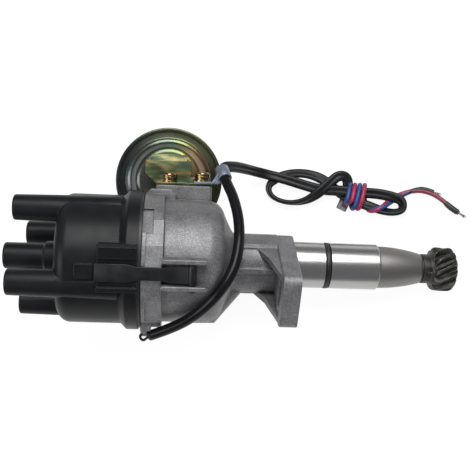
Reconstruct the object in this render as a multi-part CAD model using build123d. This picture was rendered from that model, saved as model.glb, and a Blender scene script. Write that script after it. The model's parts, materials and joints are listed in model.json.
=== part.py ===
"""Ignition distributor for a four-cylinder engine, lying on its side.

Millimetres. X runs along the drive shaft towards the gear, Y towards the vacuum can and
Z up. The origin is on the shaft's axis, in the mounting face of the flange. An angle
round the shaft is counted from +Y towards +Z.
"""
from build123d import *
from math import cos, sin, tan, radians, degrees, atan2
import os

# Clearances
press_gap = 0.02          # between pieces pressed or screwed together
running_gap = 0.03        # a shaft in its bush, on the radius
clear_gap = 0.3           # pieces of two moving bodies that only pass each other

# Housing stations along the shaft, from the flange face towards the cap
flange_t = 10.5
neck_len = 25.7
dome_len = 15.8
barrel_len = 25.7
collar_len = 12.3
neck_x = -flange_t
dome_end_x = neck_x - neck_len
barrel_end_x = dome_end_x - dome_len
collar_x = barrel_end_x - barrel_len
rim_x = collar_x - collar_len

# Housing radii
neck_r = 18.0
barrel_r = 37.0
collar_r = barrel_r + 3.5
bowl_r = barrel_r - 3.0
bowl_step = 1.2
bowl_floor_x = -47.0

# Pilot, nose and bore
pilot_r = 14.0
pilot_len = 53.2
nose_len = 27.4
nose_big_r = 12.9
nose_end_r = 9.3
bore_r = 7.5
nose_end_x = pilot_len + nose_len

# O-ring
o_ring_x = 21.3
o_ring_w = 3.2
o_ring_proud = 0.15
o_ring_depth = 2.4

# Flange lug with its arc slot
lug_angle = 116.0
lug_hub_r = 17.6
lug_corner_at = 41.5
lug_corner_r = 6.0
lug_corner_angle = 16.0
slot_at = 35.0
slot_w = 8.6
slot_half_angle = 13.0
lug_web_t = 3.4
lug_pad = 0.6

# Cap
gasket_t = 1.5
gasket_r = collar_r + 0.5
cap_r = barrel_r + 1.6
cap_skirt_r = cap_r + 3.4
cap_skirt_len = 7.0
cap_body_len = 47.5
cap_shoulder_r = 7.5
cap_wall = 3.4
cap_top_t = 8.0
cap_seat_x = rim_x - gasket_t
cap_top_x = cap_seat_x - cap_body_len
cap_ceiling_x = cap_top_x + cap_top_t

# Towers
tower_count = 4
tower_first_angle = 23.0
tower_at = cap_r - 6.8
tower_tip_r = 7.5
tower_root_r = 8.8
tower_len = 26.0
tower_ridge_end_x = cap_seat_x - 10.0
coil_tip_r = 7.9
coil_root_r = 9.2
coil_len = 33.5
coil_step_at = 10.0
socket_r = 4.3
socket_seat_r = 3.7
socket_depth = 20.0

# Terminals, brush and rotor
terminal_t = 4.0
stem_r = 2.2
post_r = 2.4
post_len = 28.0
brush_r = 2.4
brush_len = 14.5
brush_travel = 1.5
brush_gap = 0.2
guide_r = 6.0
guide_len = 12.0
rotor_seat = 12.8
rotor_hub_r = 10.5
rotor_hub_len = 24.0
rotor_arm_w = 13.0
rotor_arm_t = 6.0
rotor_arm_len = 25.0
rotor_spark_gap = 1.0
electrode_t = 1.0
electrode_w = 7.0

# Shaft, sleeve and gear
shaft_r = 5.5
shaft_top_r = 4.5
shaft_top_x = -93.0
shaft_step_x = -51.8
sleeve_r = 7.0
sleeve_top_r = 6.3
sleeve_top_x = -96.0
rotor_top_x = sleeve_top_x - rotor_seat
sleeve_step_x = -84.2
gear_teeth = 11
gear_r = 13.6
gear_root_r = 10.4
gear_w = 13.8
gear_hub_r = 9.1
gear_hub_len = 6.1
gear_helix = 27.0
gear_washer_t = 0.8
gear_pin_r = 1.9
gear_hub_x = nose_end_x + gear_washer_t + 0.2
gear_x = gear_hub_x + gear_hub_len
gear_end_x = gear_x + gear_w

# Bushes and seal
bush_len = 28.0
lower_bush_len = 24.0
bush_proud = 1.0
seal_w = 5.0
seal_x = -14.0

# Governor
washer_t = 1.1
governor_base_t = 2.2
governor_base_r = bowl_r - 8.0
weight_t = 4.8
weight_pivot_at = 17.0
weight_pin_r = 2.0
weight_inner_r = 9.6
weight_outer_r = 22.4
weight_end_angle = 100.0
weight_post_at = 11.0
weight_post_r = 1.5
cam_plate_t = 2.0
cam_plate_r = 19.5
advance_range = 12.0
weight_ratio = 1.146
base_post_at = governor_base_r - 2.0
base_post_angle = 155.0
base_post_r = 1.2
cam_post_at = 12.0
cam_post_angle = 135.0
cam_post_r = 1.0
spring_wire_r = 0.4
spring_coil_r = 1.7
governor_base_x = bowl_floor_x - bush_proud - washer_t - governor_base_t
weight_x = governor_base_x - clear_gap - weight_t
cam_plate_x = weight_x - 1.4 - cam_plate_t

# Base plate, pickup plate and pickup
base_plate_t = 1.5
base_plate_x = -64.5
hub_r = 11.5
hub_hole_r = 8.2
hub_len = 5.0
plate_t = 2.0
plate_r = bowl_r - 7.5
plate_ear_w = 9.0
plate_gap = 0.35
base_screw_at = bowl_r - 4.4
base_screw_angles = (100.0, 250.0)
rod_pin_at = plate_r + 1.9
rod_pin_z = 2.1
rod_pin_r = 1.8
rod_travel = 4.2
reluctor_r = 14.5
reluctor_hub_r = 10.2
reluctor_x = -80.0
reluctor_w = 8.0
reluctor_tooth_w = 4.4
pickup_angle = 240.0
pickup_air_gap = 0.6
shield_t = 1.2
shield_hole_r = 9.0
pickup_plate_x = base_plate_x - plate_gap - plate_t

# Clips, each drawn at the top and then turned round the shaft
clip_angles = (6.0, 168.0)
clip_t = 0.9
clip_w = 10.0
clip_waist_w = 7.4
clip_pin_x = -61.0
clip_pin_at = barrel_r + 4.6
clip_pin_r = 1.5
clip_eye_r = 2.55
clip_ledge_at = cap_r + 2.5
clip_hook_x = -114.0
clip_hook_depth = 1.6
clip_bottom = clip_ledge_at + clear_gap
guard_gap = 6.2
guard_t = 2.8
guard_at = clip_pin_at + 3.0
guard_x0 = -78.5
guard_x1 = -52.6
cap_guard_gap = 8.3
cap_guard_at = cap_r + 4.6

# Turret on the housing and vacuum can
turret_top = barrel_r + 8.8
turret_x0 = -84.0
turret_x1 = -50.0
turret_z0 = -23.6
turret_z1 = -0.8
can_x = -76.8
can_y = turret_top + 3.2
can_r = 34.7
can_face_r = 17.0
can_face_z = -24.5
can_step_r = 27.6
can_rim_z = -38.9
can_sheet = 1.0
can_crimp_t = 4.3
can_back_z = -55.0
diaphragm_t = 1.3
nipple_r = 2.5
nipple_len = 11.0
nipple_bore_r = 1.3
rod_stem_r = 2.5
rod_t = 1.6
rod_x = can_x + rod_stem_r
rod_drop_z = -18.0
rod_w = 4.0
can_flange_z = can_rim_z - can_sheet
diaphragm_z = can_flange_z - can_sheet
can_back_flange_z = diaphragm_z - diaphragm_t

# Bracket of the can and its screws
bracket_t = 1.6
bracket_w = 28.5
bracket_x0 = -91.0
bracket_z = -12.0
bracket_h = 15.2
bracket_chamfer = 7.0
bracket_foot_z = -1.0
screw_r = 2.0
screw_head_r = 4.4
screw_head_t = 3.6
screw_z = -5.7
screw_xs = (-76.0, -56.0)
spring_washer_t = 1.3
flat_washer_t = 0.9
washer_r = 4.6

# Seat and grommet of the signal lead, at the collar's rim
lead_seat_len = 6.2
lead_seat_y = -collar_r - 0.1
grommet_len = 4.4
grommet_z = 10.4
grommet_w = 9.0
grommet_lip = 1.6

# Signal lead, with its route as points
sleeve_tube_r = 2.9
lead_r = 2.2
stub_r = 0.8
tail_r = 1.5
clamp_t = 1.1
clamp_w = 8.5
# Ways along the barrel: station, angle round the shaft and height over the barrel
sleeve_way = [(-84.1, 164.74, 8.61), (-69.5, 150.55, 5.72), (-55.5, 129.31, 4.36),
              (-45.0, 110.52, 2.93), (-37.8, 92.48, -2.37), (-34.4, 67.17, -6.08),
              (-34.2, 34.92, -4.68), (-37.4, 12.13, 3.91), (-41.4, 0.24, 11.6),
              (-43.1, -4.91, 16.8)]
stub_bends = [(-88.0, lead_seat_y - grommet_lip, 10.4), (-90.6, lead_seat_y - 4.8, 8.6),
              (-88.4, lead_seat_y - 7.4, 9.0)]
lead_bends = [(-45.06, 59.37, -10.14), (-33.2, 61.1, -17.8), (-27.5, 59.9, -30.7),
              (-20.8, 58.3, -46.6), (-4.5, 54.9, -48.6)]

# Table that the part lies on: it rests on the gear, a clip guard and the nipple
table_z = -35.435
table_rise_x = 0.2177
table_rise_y = -0.2984
tail_lift = 1.74
tail_way = [(76.0, 46.0), (82.4, 48.9), (89.4, 49.1), (95.7, 46.7), (101.5, 42.1),
            (106.3, 37.5), (111.4, 34.4), (117.0, 33.5)]
hank_h = 7.6
hank_lift = 0.05
hank_outline = [(-10.5, 45.0), (-10.5, 55.0), (-4.0, 60.3), (41.2, 60.6), (53.4, 52.6),
                (77.0, 49.4), (80.0, 42.0), (77.5, 34.0), (57.3, 31.0), (30.5, 33.5),
                (3.1, 36.6)]


def softened(face, corners):
    """A face in the XY plane with some corners rounded: each is x, y and a radius."""
    for x, y, radius in corners:
        face = fillet(face.vertices().sort_by_distance((x, y, 0))[0], radius)
    return face


def turned(profile, centre=(0, 0), soft=()):
    """Solid of revolution about an axis along X, from a closed list of (x, radius)."""
    face = softened(make_face(Polyline(*profile, close=True)), soft)
    return Pos(0, centre[0], centre[1]) * revolve(face, axis=Axis.X)


def rod_x_axis(x0, x1, radius, centre=(0, 0)):
    """Round bar along X between two stations."""
    return Pos((x0 + x1) / 2, centre[0], centre[1]) * Rot(Y=90) * Cylinder(radius, abs(x1 - x0))


def tube_x_axis(x0, x1, outer, inner, centre=(0, 0)):
    """Round tube along X between two stations."""
    return rod_x_axis(x0, x1, outer, centre) - rod_x_axis(x0, x1, inner, centre)


def bar_z(x, y, z0, z1, radius):
    """Round bar along Z."""
    return Pos(x, y, (z0 + z1) / 2) * Cylinder(radius, abs(z1 - z0))


def block(x, y, z):
    """Block from three pairs of limits."""
    middle = [(low + high) / 2 for low, high in (x, y, z)]
    return Pos(*middle) * Box(x[1] - x[0], y[1] - y[0], z[1] - z[0])


def round_the_shaft(angle, radius):
    """Y and Z of a point at an angle and a radius round the shaft."""
    return radius * cos(radians(angle)), radius * sin(radians(angle))


def yz_plate(sketch, x0, thickness):
    """A sketch drawn in (y, z), made a plate from x0 towards +X."""
    return extrude(Plane.YZ.offset(x0) * sketch, thickness)


def lead_tube(points, radius, bore=0.0):
    """Tube along straight runs joined by the largest arcs that fit, with its radii."""
    corners = [Vector(*p) for p in points]
    radii = []
    for before, here, after in zip(corners, corners[1:], corners[2:]):
        turn = (here - before).get_angle(after - here)
        shorter = min((here - before).length, (after - here).length)
        radii.append(0.45 * shorter / tan(radians(turn / 2)))
    path = FilletPolyline(*points, radius=radii)
    start = Plane(origin=corners[0], z_dir=corners[1] - corners[0])
    section = Circle(radius)
    if bore:
        section -= Circle(bore)
    tube = sweep(start * section, path=path)
    rounded = [round(r, 1) for r in radii]
    length = path.length
    print("lead radii", rounded, "length", round(length, 1),
          "volume by length", round(section.area * length, 1), "volume", round(tube.volume, 1))
    return tube


def over_table(x, y, lift):
    """Point at a height over the table."""
    return x, y, table_z + table_rise_x * x + table_rise_y * y + lift


def sleeve_route():
    """Points of the sleeve's line, from the grommet over the barrel to the clamp."""
    return [(x, *round_the_shaft(angle, barrel_r + height)) for x, angle, height in sleeve_way]


# Housing

def housing_outside():
    """Collar, barrel, dome and neck, turned about the shaft."""
    shoulder = (barrel_end_x + 0.6 * dome_len, neck_r + 0.66 * (barrel_r - neck_r))
    outline = [
        Line((rim_x, 0), (rim_x, collar_r)),
        Line((rim_x, collar_r), (collar_x, collar_r)),
        Line((collar_x, collar_r), (collar_x, barrel_r)),
        Line((collar_x, barrel_r), (barrel_end_x, barrel_r)),
    ]
    crown = TangentArc((barrel_end_x, barrel_r), shoulder, tangent=(1, 0))
    face_arc = TangentArc(shoulder, (dome_end_x, neck_r), tangent=crown % 1)
    outline += [
        crown,
        face_arc,
        Line((dome_end_x, neck_r), (neck_x + 1, neck_r)),
        Line((neck_x + 1, neck_r), (neck_x + 1, 0)),
        Line((neck_x + 1, 0), (rim_x, 0)),
    ]
    soft = [(rim_x, collar_r, 0.8), (collar_x, collar_r, 1.2), (collar_x, barrel_r, 1.0),
            (dome_end_x, neck_r, 2.5)]
    return revolve(softened(make_face(outline), soft), axis=Axis.X)


def housing_neck_ribs():
    """Long ribs and one flat land along the neck."""
    ribs = None
    for angle in (100.0, 52.0, 190.0, 280.0):
        y, z = round_the_shaft(angle, neck_r - 1.0)
        rib = block((dome_end_x - 3, neck_x), (-2, 2.1), (-2, 2))
        rib = fillet(rib.edges().filter_by(Axis.X).group_by(Axis.Y)[-1], 1.0)
        rib = Pos(0, y, z) * Rot(X=angle) * rib
        ribs = rib if ribs is None else ribs + rib
    return ribs


def housing_lug():
    """Flange with its lug, webs and pad, drawn along +Y and turned to its place."""
    far = lug_corner_at
    hull = Sketch() + make_hull(
        Circle(lug_hub_r).edges()
        + (Pos(*round_the_shaft(lug_corner_angle, far)) * Circle(lug_corner_r)).edges()
        + (Pos(*round_the_shaft(-lug_corner_angle, far)) * Circle(lug_corner_r)).edges())
    lug = yz_plate(hull, -flange_t, flange_t)
    lug = fillet(lug.edges().group_by(Axis.X)[0], 1.2)
    web_in = slot_at * sin(radians(slot_half_angle)) + slot_w / 2 + 0.3
    side = Polyline((-flange_t, 8), (-flange_t - 13, 8), (-flange_t - 6, 20),
                    (-flange_t - 3, 30), (-flange_t, 40), close=True)
    for start in (web_in, -web_in - lug_web_t):
        lug += Pos(0, 0, start) * extrude(make_face(side), lug_web_t)
    return Rot(X=lug_angle) * lug


def lug_slot():
    """Arc slot through the lug, at the clamp bolt's radius."""
    middle = CenterArc((0, 0), slot_at, -slot_half_angle, 2 * slot_half_angle)
    slot = SlotArc(middle, slot_w)
    return Rot(X=lug_angle) * yz_plate(slot, -flange_t - 20, flange_t + 25)


def housing_guards(turn):
    """Two guard ribs that carry a clip's pin."""
    length = guard_x1 - guard_x0
    rib_plan = Pos((guard_x0 + guard_x1) / 2, 0) * SlotOverall(length, guard_t)
    rib = extrude(Plane.XY.offset(barrel_r - 3) * rib_plan, guard_at - barrel_r + 3)
    rib = fillet(rib.edges().group_by(Axis.Z)[-1], 0.8)
    pair = Pos(0, guard_gap + guard_t / 2, 0) * rib + Pos(0, -guard_gap - guard_t / 2, 0) * rib
    return Rot(X=turn) * pair


def housing_bosses():
    """Turret for the vacuum rod, collar ear, drain boss and lead ear."""
    turret = block((turret_x0, turret_x1), (25, turret_top), (turret_z0, turret_z1))
    turret = fillet(turret.edges().filter_by(Axis.Y), 1.8)
    turret = fillet(turret.edges().group_by(Axis.Y)[-1], 0.7)
    ear = block((rim_x + 1.2, turret_x0 + 12), (25, turret_top - 2.6), (-14, 4.5))
    ear = chamfer(ear.edges().filter_by(Axis.Z).group_by(Axis.Y)[-1], 2.5)
    ear = fillet(ear.edges().filter_by(Axis.X).group_by(Axis.Y)[-1], 0.8)
    boss = loft([Plane.YZ.offset(-60) * Pos(-27, -2) * RectangleRounded(20, 30, 8),
                 Plane.YZ.offset(-46) * Pos(-26.8, -2) * RectangleRounded(20, 28, 8)])
    taper = loft([Plane.YZ.offset(-46) * Pos(-26.8, -2) * RectangleRounded(20, 28, 8),
                  Plane.YZ.offset(-31) * Pos(-13, -1) * RectangleRounded(12, 16, 5)])
    lead_ear = block((rim_x, rim_x + 4.2), (-barrel_r - 9.6, 1 - barrel_r), (-7, 3.5))
    lead_ear = fillet(lead_ear.edges().filter_by(Axis.X).group_by(Axis.Y)[0], 2)
    lead_seat = block((rim_x, rim_x + lead_seat_len), (lead_seat_y, -34), (4, 17))
    return turret + ear + boss + taper + lead_ear + lead_seat


def housing_pilot():
    """Turned pilot with its O-ring groove, chamfer and cast nose."""
    groove0 = o_ring_x - o_ring_w / 2 - 0.2
    groove1 = o_ring_x + o_ring_w / 2 + 0.2
    groove_r = pilot_r - o_ring_depth
    chamfer_size = 0.8
    barrel = turned([(-flange_t, 0), (-flange_t, pilot_r), (groove0, pilot_r),
                     (groove0, groove_r), (groove1, groove_r), (groove1, pilot_r),
                     (pilot_len - chamfer_size, pilot_r),
                     (pilot_len, pilot_r - chamfer_size), (pilot_len, 0)])
    ogive = [
        Line((pilot_len - 2, 0), (pilot_len - 2, nose_big_r)),
        Line((pilot_len - 2, nose_big_r), (pilot_len, nose_big_r)),
        TangentArc((pilot_len, nose_big_r), (nose_end_x - 1, nose_end_r), tangent=(1, 0)),
        Line((nose_end_x - 1, nose_end_r), (nose_end_x, nose_end_r - 0.6)),
        Line((nose_end_x, nose_end_r - 0.6), (nose_end_x, 0)),
        Line((nose_end_x, 0), (pilot_len - 2, 0)),
    ]
    return barrel + revolve(make_face(ogive), axis=Axis.X)


def housing_hollow():
    """Bowl with its two ledges, and the bore for the bushes."""
    r0, r1, r2 = bowl_r, bowl_r - bowl_step, bowl_r - bowl_step - 1.8
    shield_x = reluctor_x - 2.0
    ledge_x = base_plate_x + base_plate_t
    bowl = turned([(rim_x - 1, 0), (rim_x - 1, r0), (shield_x, r0), (shield_x, r1),
                   (ledge_x, r1), (ledge_x, r2), (bowl_floor_x - 3, r2),
                   (bowl_floor_x, r2 - 3), (bowl_floor_x, 0)])
    return bowl + rod_x_axis(bowl_floor_x - 1, nose_end_x + 1, bore_r)


def housing_screw_bosses():
    """Two bosses inside the bowl that take the base plate's screws."""
    bosses = None
    for angle in base_screw_angles:
        y, z = round_the_shaft(angle, base_screw_at + 0.6)
        boss = rod_x_axis(base_plate_x + base_plate_t, bowl_floor_x + 2, 2.8, (y, z))
        bosses = boss if bosses is None else bosses + boss
    return bosses


def can_room(extra):
    """The space that the vacuum can takes, with some room round it."""
    face = bar_z(can_x, can_y, can_face_z + extra, can_rim_z - 20, can_face_r + 5.3 + extra)
    step = bar_z(can_x, can_y, -32.2 + extra, can_rim_z - 20, can_step_r + extra)
    rim = bar_z(can_x, can_y, can_rim_z + extra, can_rim_z - 20, can_r + extra)
    return face + step + rim


def housing_cuts():
    """Rod slot, relief for the can, notch and flats on the collar, screw holes."""
    slot = block((rod_x - 1.4, rod_x + rod_t + 1.4), (20, turret_top + 1), (turret_z0 - 4, -10))
    cuts = slot + can_room(0.5)
    notch = block((rim_x - 1, rim_x + 6.5), (-8.5, 8.5), (collar_r - 2.6, collar_r + 3))
    cuts += Rot(X=-39) * notch
    for turn, depth in ((-27.0, 1.5), (-11.0, 1.0), (44.0, 1.4), (160.0, 1.5)):
        flat = block((rim_x + 2.6, collar_x + 0.01), (-9, 9), (collar_r - depth, collar_r + 3))
        cuts += Rot(X=turn) * flat
    for x in screw_xs:
        cuts += Pos(x, turret_top, screw_z) * Rot(X=90) * Cylinder(screw_r + press_gap, 24)
    return cuts


def make_housing():
    """Cast aluminium housing in one piece, from the collar to the nose."""
    body = housing_outside() + housing_neck_ribs() + housing_bosses()
    for turn in clip_angles:
        body += housing_guards(turn)
    body += housing_pilot() + housing_lug()
    body -= housing_hollow()
    body -= lug_slot()
    body += housing_screw_bosses()
    body -= housing_cuts()
    for turn in clip_angles:
        pin = Pos(clip_pin_x, 0, clip_pin_at) * Rot(X=90) * Cylinder(clip_pin_r + press_gap, 40)
        body -= Rot(X=turn) * pin
    for angle in base_screw_angles:
        y, z = round_the_shaft(angle, base_screw_at)
        body -= rod_x_axis(base_plate_x, base_plate_x + 10, 1.5 + press_gap, (y, z))
    body -= grommet_block(press_gap)
    return [body.solids().sort_by(SortBy.VOLUME)[-1]]


# Cap

def cap_shell():
    """Domed body, flared skirt and cavity, turned about the shaft."""
    skirt_x = cap_seat_x - cap_skirt_len
    flare = cap_skirt_r - cap_r
    shoulder = cap_shoulder_r
    outline = [
        Line((cap_seat_x, 0), (cap_seat_x, cap_skirt_r)),
        Line((cap_seat_x, cap_skirt_r), (skirt_x, cap_skirt_r)),
        Line((skirt_x, cap_skirt_r), (skirt_x - flare, cap_r)),
        Line((skirt_x - flare, cap_r), (cap_top_x + shoulder, cap_r)),
        TangentArc((cap_top_x + shoulder, cap_r), (cap_top_x, cap_r - shoulder), tangent=(-1, 0)),
        Line((cap_top_x, cap_r - shoulder), (cap_top_x, 0)),
        Line((cap_top_x, 0), (cap_seat_x, 0)),
    ]
    soft = [(skirt_x, cap_skirt_r, 1.6), (skirt_x - flare, cap_r, 1.6)]
    shell = revolve(softened(make_face(outline), soft), axis=Axis.X)
    inside_r = cap_r - cap_wall
    cavity = turned([(cap_seat_x + 1, 0), (cap_seat_x + 1, inside_r),
                     (cap_ceiling_x + 0.8, inside_r), (cap_ceiling_x, inside_r - 0.8),
                     (cap_ceiling_x, 0)])
    guide = rod_x_axis(cap_ceiling_x - 1, cap_ceiling_x + guide_len, guide_r)
    return shell - cavity + guide


def cap_tower(angle):
    """One plug-lead tower, a cone that runs on as a ridge along the body."""
    tip = cap_top_x - tower_len
    end = tower_ridge_end_x
    return turned([(tip, 0), (tip, tower_tip_r), (end, tower_root_r), (end, 0)],
                  round_the_shaft(angle, tower_at),
                  [(tip, tower_tip_r, 1.2), (end, tower_root_r, 2.0)])


def coil_tower():
    """Middle tower for the coil's lead, with a thicker foot."""
    tip = cap_top_x - coil_len
    foot = cap_top_x - coil_step_at
    return turned([(tip, 0), (tip, coil_tip_r), (foot, coil_tip_r + 0.2), (foot + 1.2, coil_root_r),
                   (cap_top_x - 2, coil_root_r + 0.6), (cap_top_x + 1, coil_root_r + 3),
                   (cap_top_x + 1, 0)], (0, 0),
                  [(tip, coil_tip_r, 1.2), (cap_top_x - 2, coil_root_r + 0.6, 2.0)])


def cap_clip_seat(turn):
    """Ledge, guard blocks and pad for one clip, and the channel cut between them."""
    x0 = clip_hook_x + clear_gap
    ledge = block((x0, cap_seat_x), (-cap_guard_gap, cap_guard_gap), (30, clip_ledge_at))
    upper = block((x0, cap_seat_x), (cap_guard_gap, cap_guard_gap + 7.6), (28, cap_guard_at))
    upper = chamfer(upper.edges().filter_by(Axis.X).group_by(Axis.Z)[-1].sort_by(Axis.Y)[-1], 1.5)
    upper = fillet(upper.edges().group_by(Axis.X)[0], 0.7)
    lower = block((x0, cap_seat_x), (-cap_guard_gap - 2.6, -cap_guard_gap), (28, cap_guard_at))
    pad = block((clip_hook_x - 12.5, clip_hook_x - 1.6), (-4.2, 4.2), (30, cap_r + 1.7))
    pad = fillet(pad.edges().filter_by(Axis.Z), 1.8)
    pad = fillet(pad.edges().group_by(Axis.Z)[-1], 0.5)
    channel = block((clip_hook_x - 1.6, cap_seat_x + 1), (-cap_guard_gap, cap_guard_gap),
                    (clip_ledge_at, cap_guard_at + 5))
    return Rot(X=turn) * (ledge + upper + lower + pad), Rot(X=turn) * channel


def cap_sockets():
    """Sockets, stem holes and brush guide, cut through towers and top."""
    tip = cap_top_x - tower_len
    cuts = rod_x_axis(cap_top_x - coil_len - 1, coil_cup_x(), socket_r)
    cuts += rod_x_axis(coil_cup_x() - 1, coil_cup_x() + terminal_t, socket_seat_r)
    cuts += rod_x_axis(coil_cup_x(), brush_back_x() + 1, stem_r + press_gap)
    cuts += rod_x_axis(brush_back_x(), cap_ceiling_x + guide_len + 1, brush_r + 0.1)
    for angle in tower_angles():
        at = round_the_shaft(angle, tower_at)
        cuts += rod_x_axis(tip - 1, plug_cup_x(), socket_r, at)
        cuts += rod_x_axis(plug_cup_x() - 1, plug_cup_x() + terminal_t, socket_seat_r, at)
        cuts += rod_x_axis(plug_cup_x(), cap_ceiling_x + 1, stem_r + press_gap, at)
    return cuts


def tower_angles():
    """Angles of the plug-lead towers round the shaft."""
    return [tower_first_angle + index * 360 / tower_count for index in range(tower_count)]


def plug_cup_x():
    """Station of a plug terminal's socket face."""
    return cap_top_x - tower_len + socket_depth


def coil_cup_x():
    """Station of the coil terminal's socket face."""
    return cap_top_x - coil_len + socket_depth + 4.0


def brush_back_x():
    """Station of the brush guide's closed end."""
    return cap_top_x + 3.0


def make_cap():
    """Moulded cap with four plug towers and the coil tower."""
    ridges = coil_tower()
    for angle in tower_angles():
        ridges += cap_tower(angle)
    inside_r = cap_r - cap_wall
    body = cap_shell() + (ridges - rod_x_axis(cap_ceiling_x, cap_seat_x + 5, inside_r))
    for turn in clip_angles:
        solid, channel = cap_clip_seat(turn)
        body += solid - rod_x_axis(cap_ceiling_x, cap_seat_x + 5, inside_r)
        body -= channel
    body -= cap_sockets()
    return [body.solids().sort_by(SortBy.VOLUME)[-1]]


def make_cap_gasket():
    """Flat rubber ring between the cap and the housing."""
    return [tube_x_axis(cap_seat_x, rim_x, gasket_r, cap_r - cap_wall + 0.2)]


def make_plug_terminals():
    """Four aluminium terminals: cup face, stem and spark post."""
    pieces = []
    for angle in tower_angles():
        at = round_the_shaft(angle, tower_at)
        cup = rod_x_axis(plug_cup_x(), plug_cup_x() + terminal_t, socket_seat_r - press_gap, at)
        stem = rod_x_axis(plug_cup_x() + 1, cap_ceiling_x + 1, stem_r, at)
        post = rod_x_axis(cap_ceiling_x, cap_ceiling_x + post_len, post_r, at)
        pieces.append(cup + stem + post)
    return pieces


def make_coil_terminal():
    """Middle terminal, which the brush's spring pushes against."""
    cup = rod_x_axis(coil_cup_x(), coil_cup_x() + terminal_t, socket_seat_r - press_gap)
    return [cup + rod_x_axis(coil_cup_x() + 1, brush_back_x(), stem_r)]


def make_carbon_brush():
    """Carbon brush that rides on the rotor's electrode."""
    end = rotor_top_x - brush_gap
    brush = rod_x_axis(end - brush_len, end, brush_r)
    return [chamfer(brush.edges().filter_by(GeomType.CIRCLE), 0.4)]


def make_brush_spring():
    """Small coil spring behind the carbon brush, at its closed length."""
    length = rotor_top_x - brush_gap - brush_len - brush_travel - 0.4 - brush_back_x()
    turns = 5
    wire = 0.32
    coil_r = brush_r - wire - 0.25
    pitch = (length - 2 * wire) / turns
    path = Helix(pitch, pitch * turns, coil_r)
    start = Plane(path @ 0, z_dir=path % 0)
    spring = sweep(start * Circle(wire), path=path, is_frenet=True)
    return [Pos(brush_back_x() + wire, 0, 0) * Rot(Y=90) * spring]


# Rotor and shaft

def make_rotor_arm():
    """Moulded rotor arm that pushes onto the sleeve's top."""
    hub = turned([(rotor_top_x + electrode_t, 0), (rotor_top_x + electrode_t, rotor_hub_r - 2),
                  (rotor_top_x + 5, rotor_hub_r), (rotor_top_x + rotor_hub_len, rotor_hub_r),
                  (rotor_top_x + rotor_hub_len, 0)])
    plan = Polyline((0, -rotor_arm_w / 2), (rotor_arm_len, -rotor_arm_w * 0.36),
                    (rotor_arm_len, rotor_arm_w * 0.36), (0, rotor_arm_w / 2),
                    (-14, rotor_arm_w / 2 - 1), (-14, 1 - rotor_arm_w / 2), close=True)
    arm = yz_plate(make_face(plan), rotor_top_x + electrode_t, rotor_arm_t)
    bore = rod_x_axis(sleeve_top_x - 0.3, rotor_top_x + rotor_hub_len + 1, sleeve_top_r + press_gap)
    key = block((sleeve_top_x - 0.3, rotor_top_x + rotor_hub_len + 1), (-1, 1), (5, 7.4))
    return [Rot(X=tower_first_angle) * (hub + arm - bore - key)]


def make_rotor_electrode():
    """Brass strip from the brush to the rotor's tip."""
    reach = tower_at - post_r - rotor_spark_gap
    strip = Pos(reach / 2 - 2, 0) * RectangleRounded(reach + 4, electrode_w, 1.5)
    tip = Pos(reach - 1.5, 0) * Rectangle(3, electrode_w + 3)
    plate = yz_plate(strip + tip, rotor_top_x, electrode_t)
    return [Rot(X=tower_first_angle) * plate]


def make_rotor_sleeve():
    """Sleeve that turns on the shaft's top within the governor's range."""
    inner = shaft_top_r + running_gap
    head_room = shaft_top_x + 0.3
    bottom = shaft_step_x - clear_gap
    profile = [(bottom, inner), (bottom, sleeve_r), (sleeve_step_x, sleeve_r),
               (sleeve_step_x, sleeve_top_r), (sleeve_top_x, sleeve_top_r),
               (sleeve_top_x, inner + 0.7), (head_room, inner + 0.7), (head_room, inner)]
    key = block((sleeve_top_x + 2, sleeve_step_x - 1), (-0.9, 0.9), (5.9, 7.2))
    return [turned(profile) + Rot(X=tower_first_angle) * key]


def make_sleeve_screw():
    """Screw in the shaft's end that keeps the sleeve on it."""
    head = rod_x_axis(shaft_top_x - 2.0, shaft_top_x, shaft_top_r + 0.35)
    slot = block((shaft_top_x - 2.1, shaft_top_x - 1.2), (-6, 6), (-0.5, 0.5))
    return [head - slot + rod_x_axis(shaft_top_x - 1, shaft_top_x + 9, 1.8)]


def make_main_shaft():
    """Steel shaft, with the thinner seat of the sleeve at its top."""
    profile = [(shaft_top_x, 0), (shaft_top_x, shaft_top_r), (shaft_step_x, shaft_top_r),
               (shaft_step_x, shaft_r), (gear_end_x - 0.6, shaft_r),
               (gear_end_x, shaft_r - 0.6), (gear_end_x, 0)]
    shaft = turned(profile)
    shaft -= rod_x_axis(shaft_top_x - 1, shaft_top_x + 9.2, 1.8 + press_gap)
    pin = Pos(gear_pin_x(), 0, 0) * Rot(Y=0) * Cylinder(gear_pin_r + press_gap, 40)
    return [shaft - pin]


def gear_pin_x():
    """Station of the pin that locks the gear."""
    return gear_hub_x + gear_hub_len / 2


def make_gear_pin():
    """Cross pin through the gear's hub and the shaft."""
    return [Pos(gear_pin_x(), 0, 0) * Cylinder(gear_pin_r, 2 * gear_hub_r - 0.6)]


def gear_section():
    """Section of the gear: rounded teeth as short arcs and straight flanks."""
    pitch = 360 / gear_teeth
    points = []
    for index in range(gear_teeth):
        middle = index * pitch
        for offset, radius in ((-0.36, gear_root_r), (-0.17, gear_r - 0.9), (-0.09, gear_r),
                               (0.09, gear_r), (0.17, gear_r - 0.9), (0.36, gear_root_r)):
            points.append(round_the_shaft(middle + offset * pitch, radius))
    return make_face(Polyline(*points, close=True))


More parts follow.
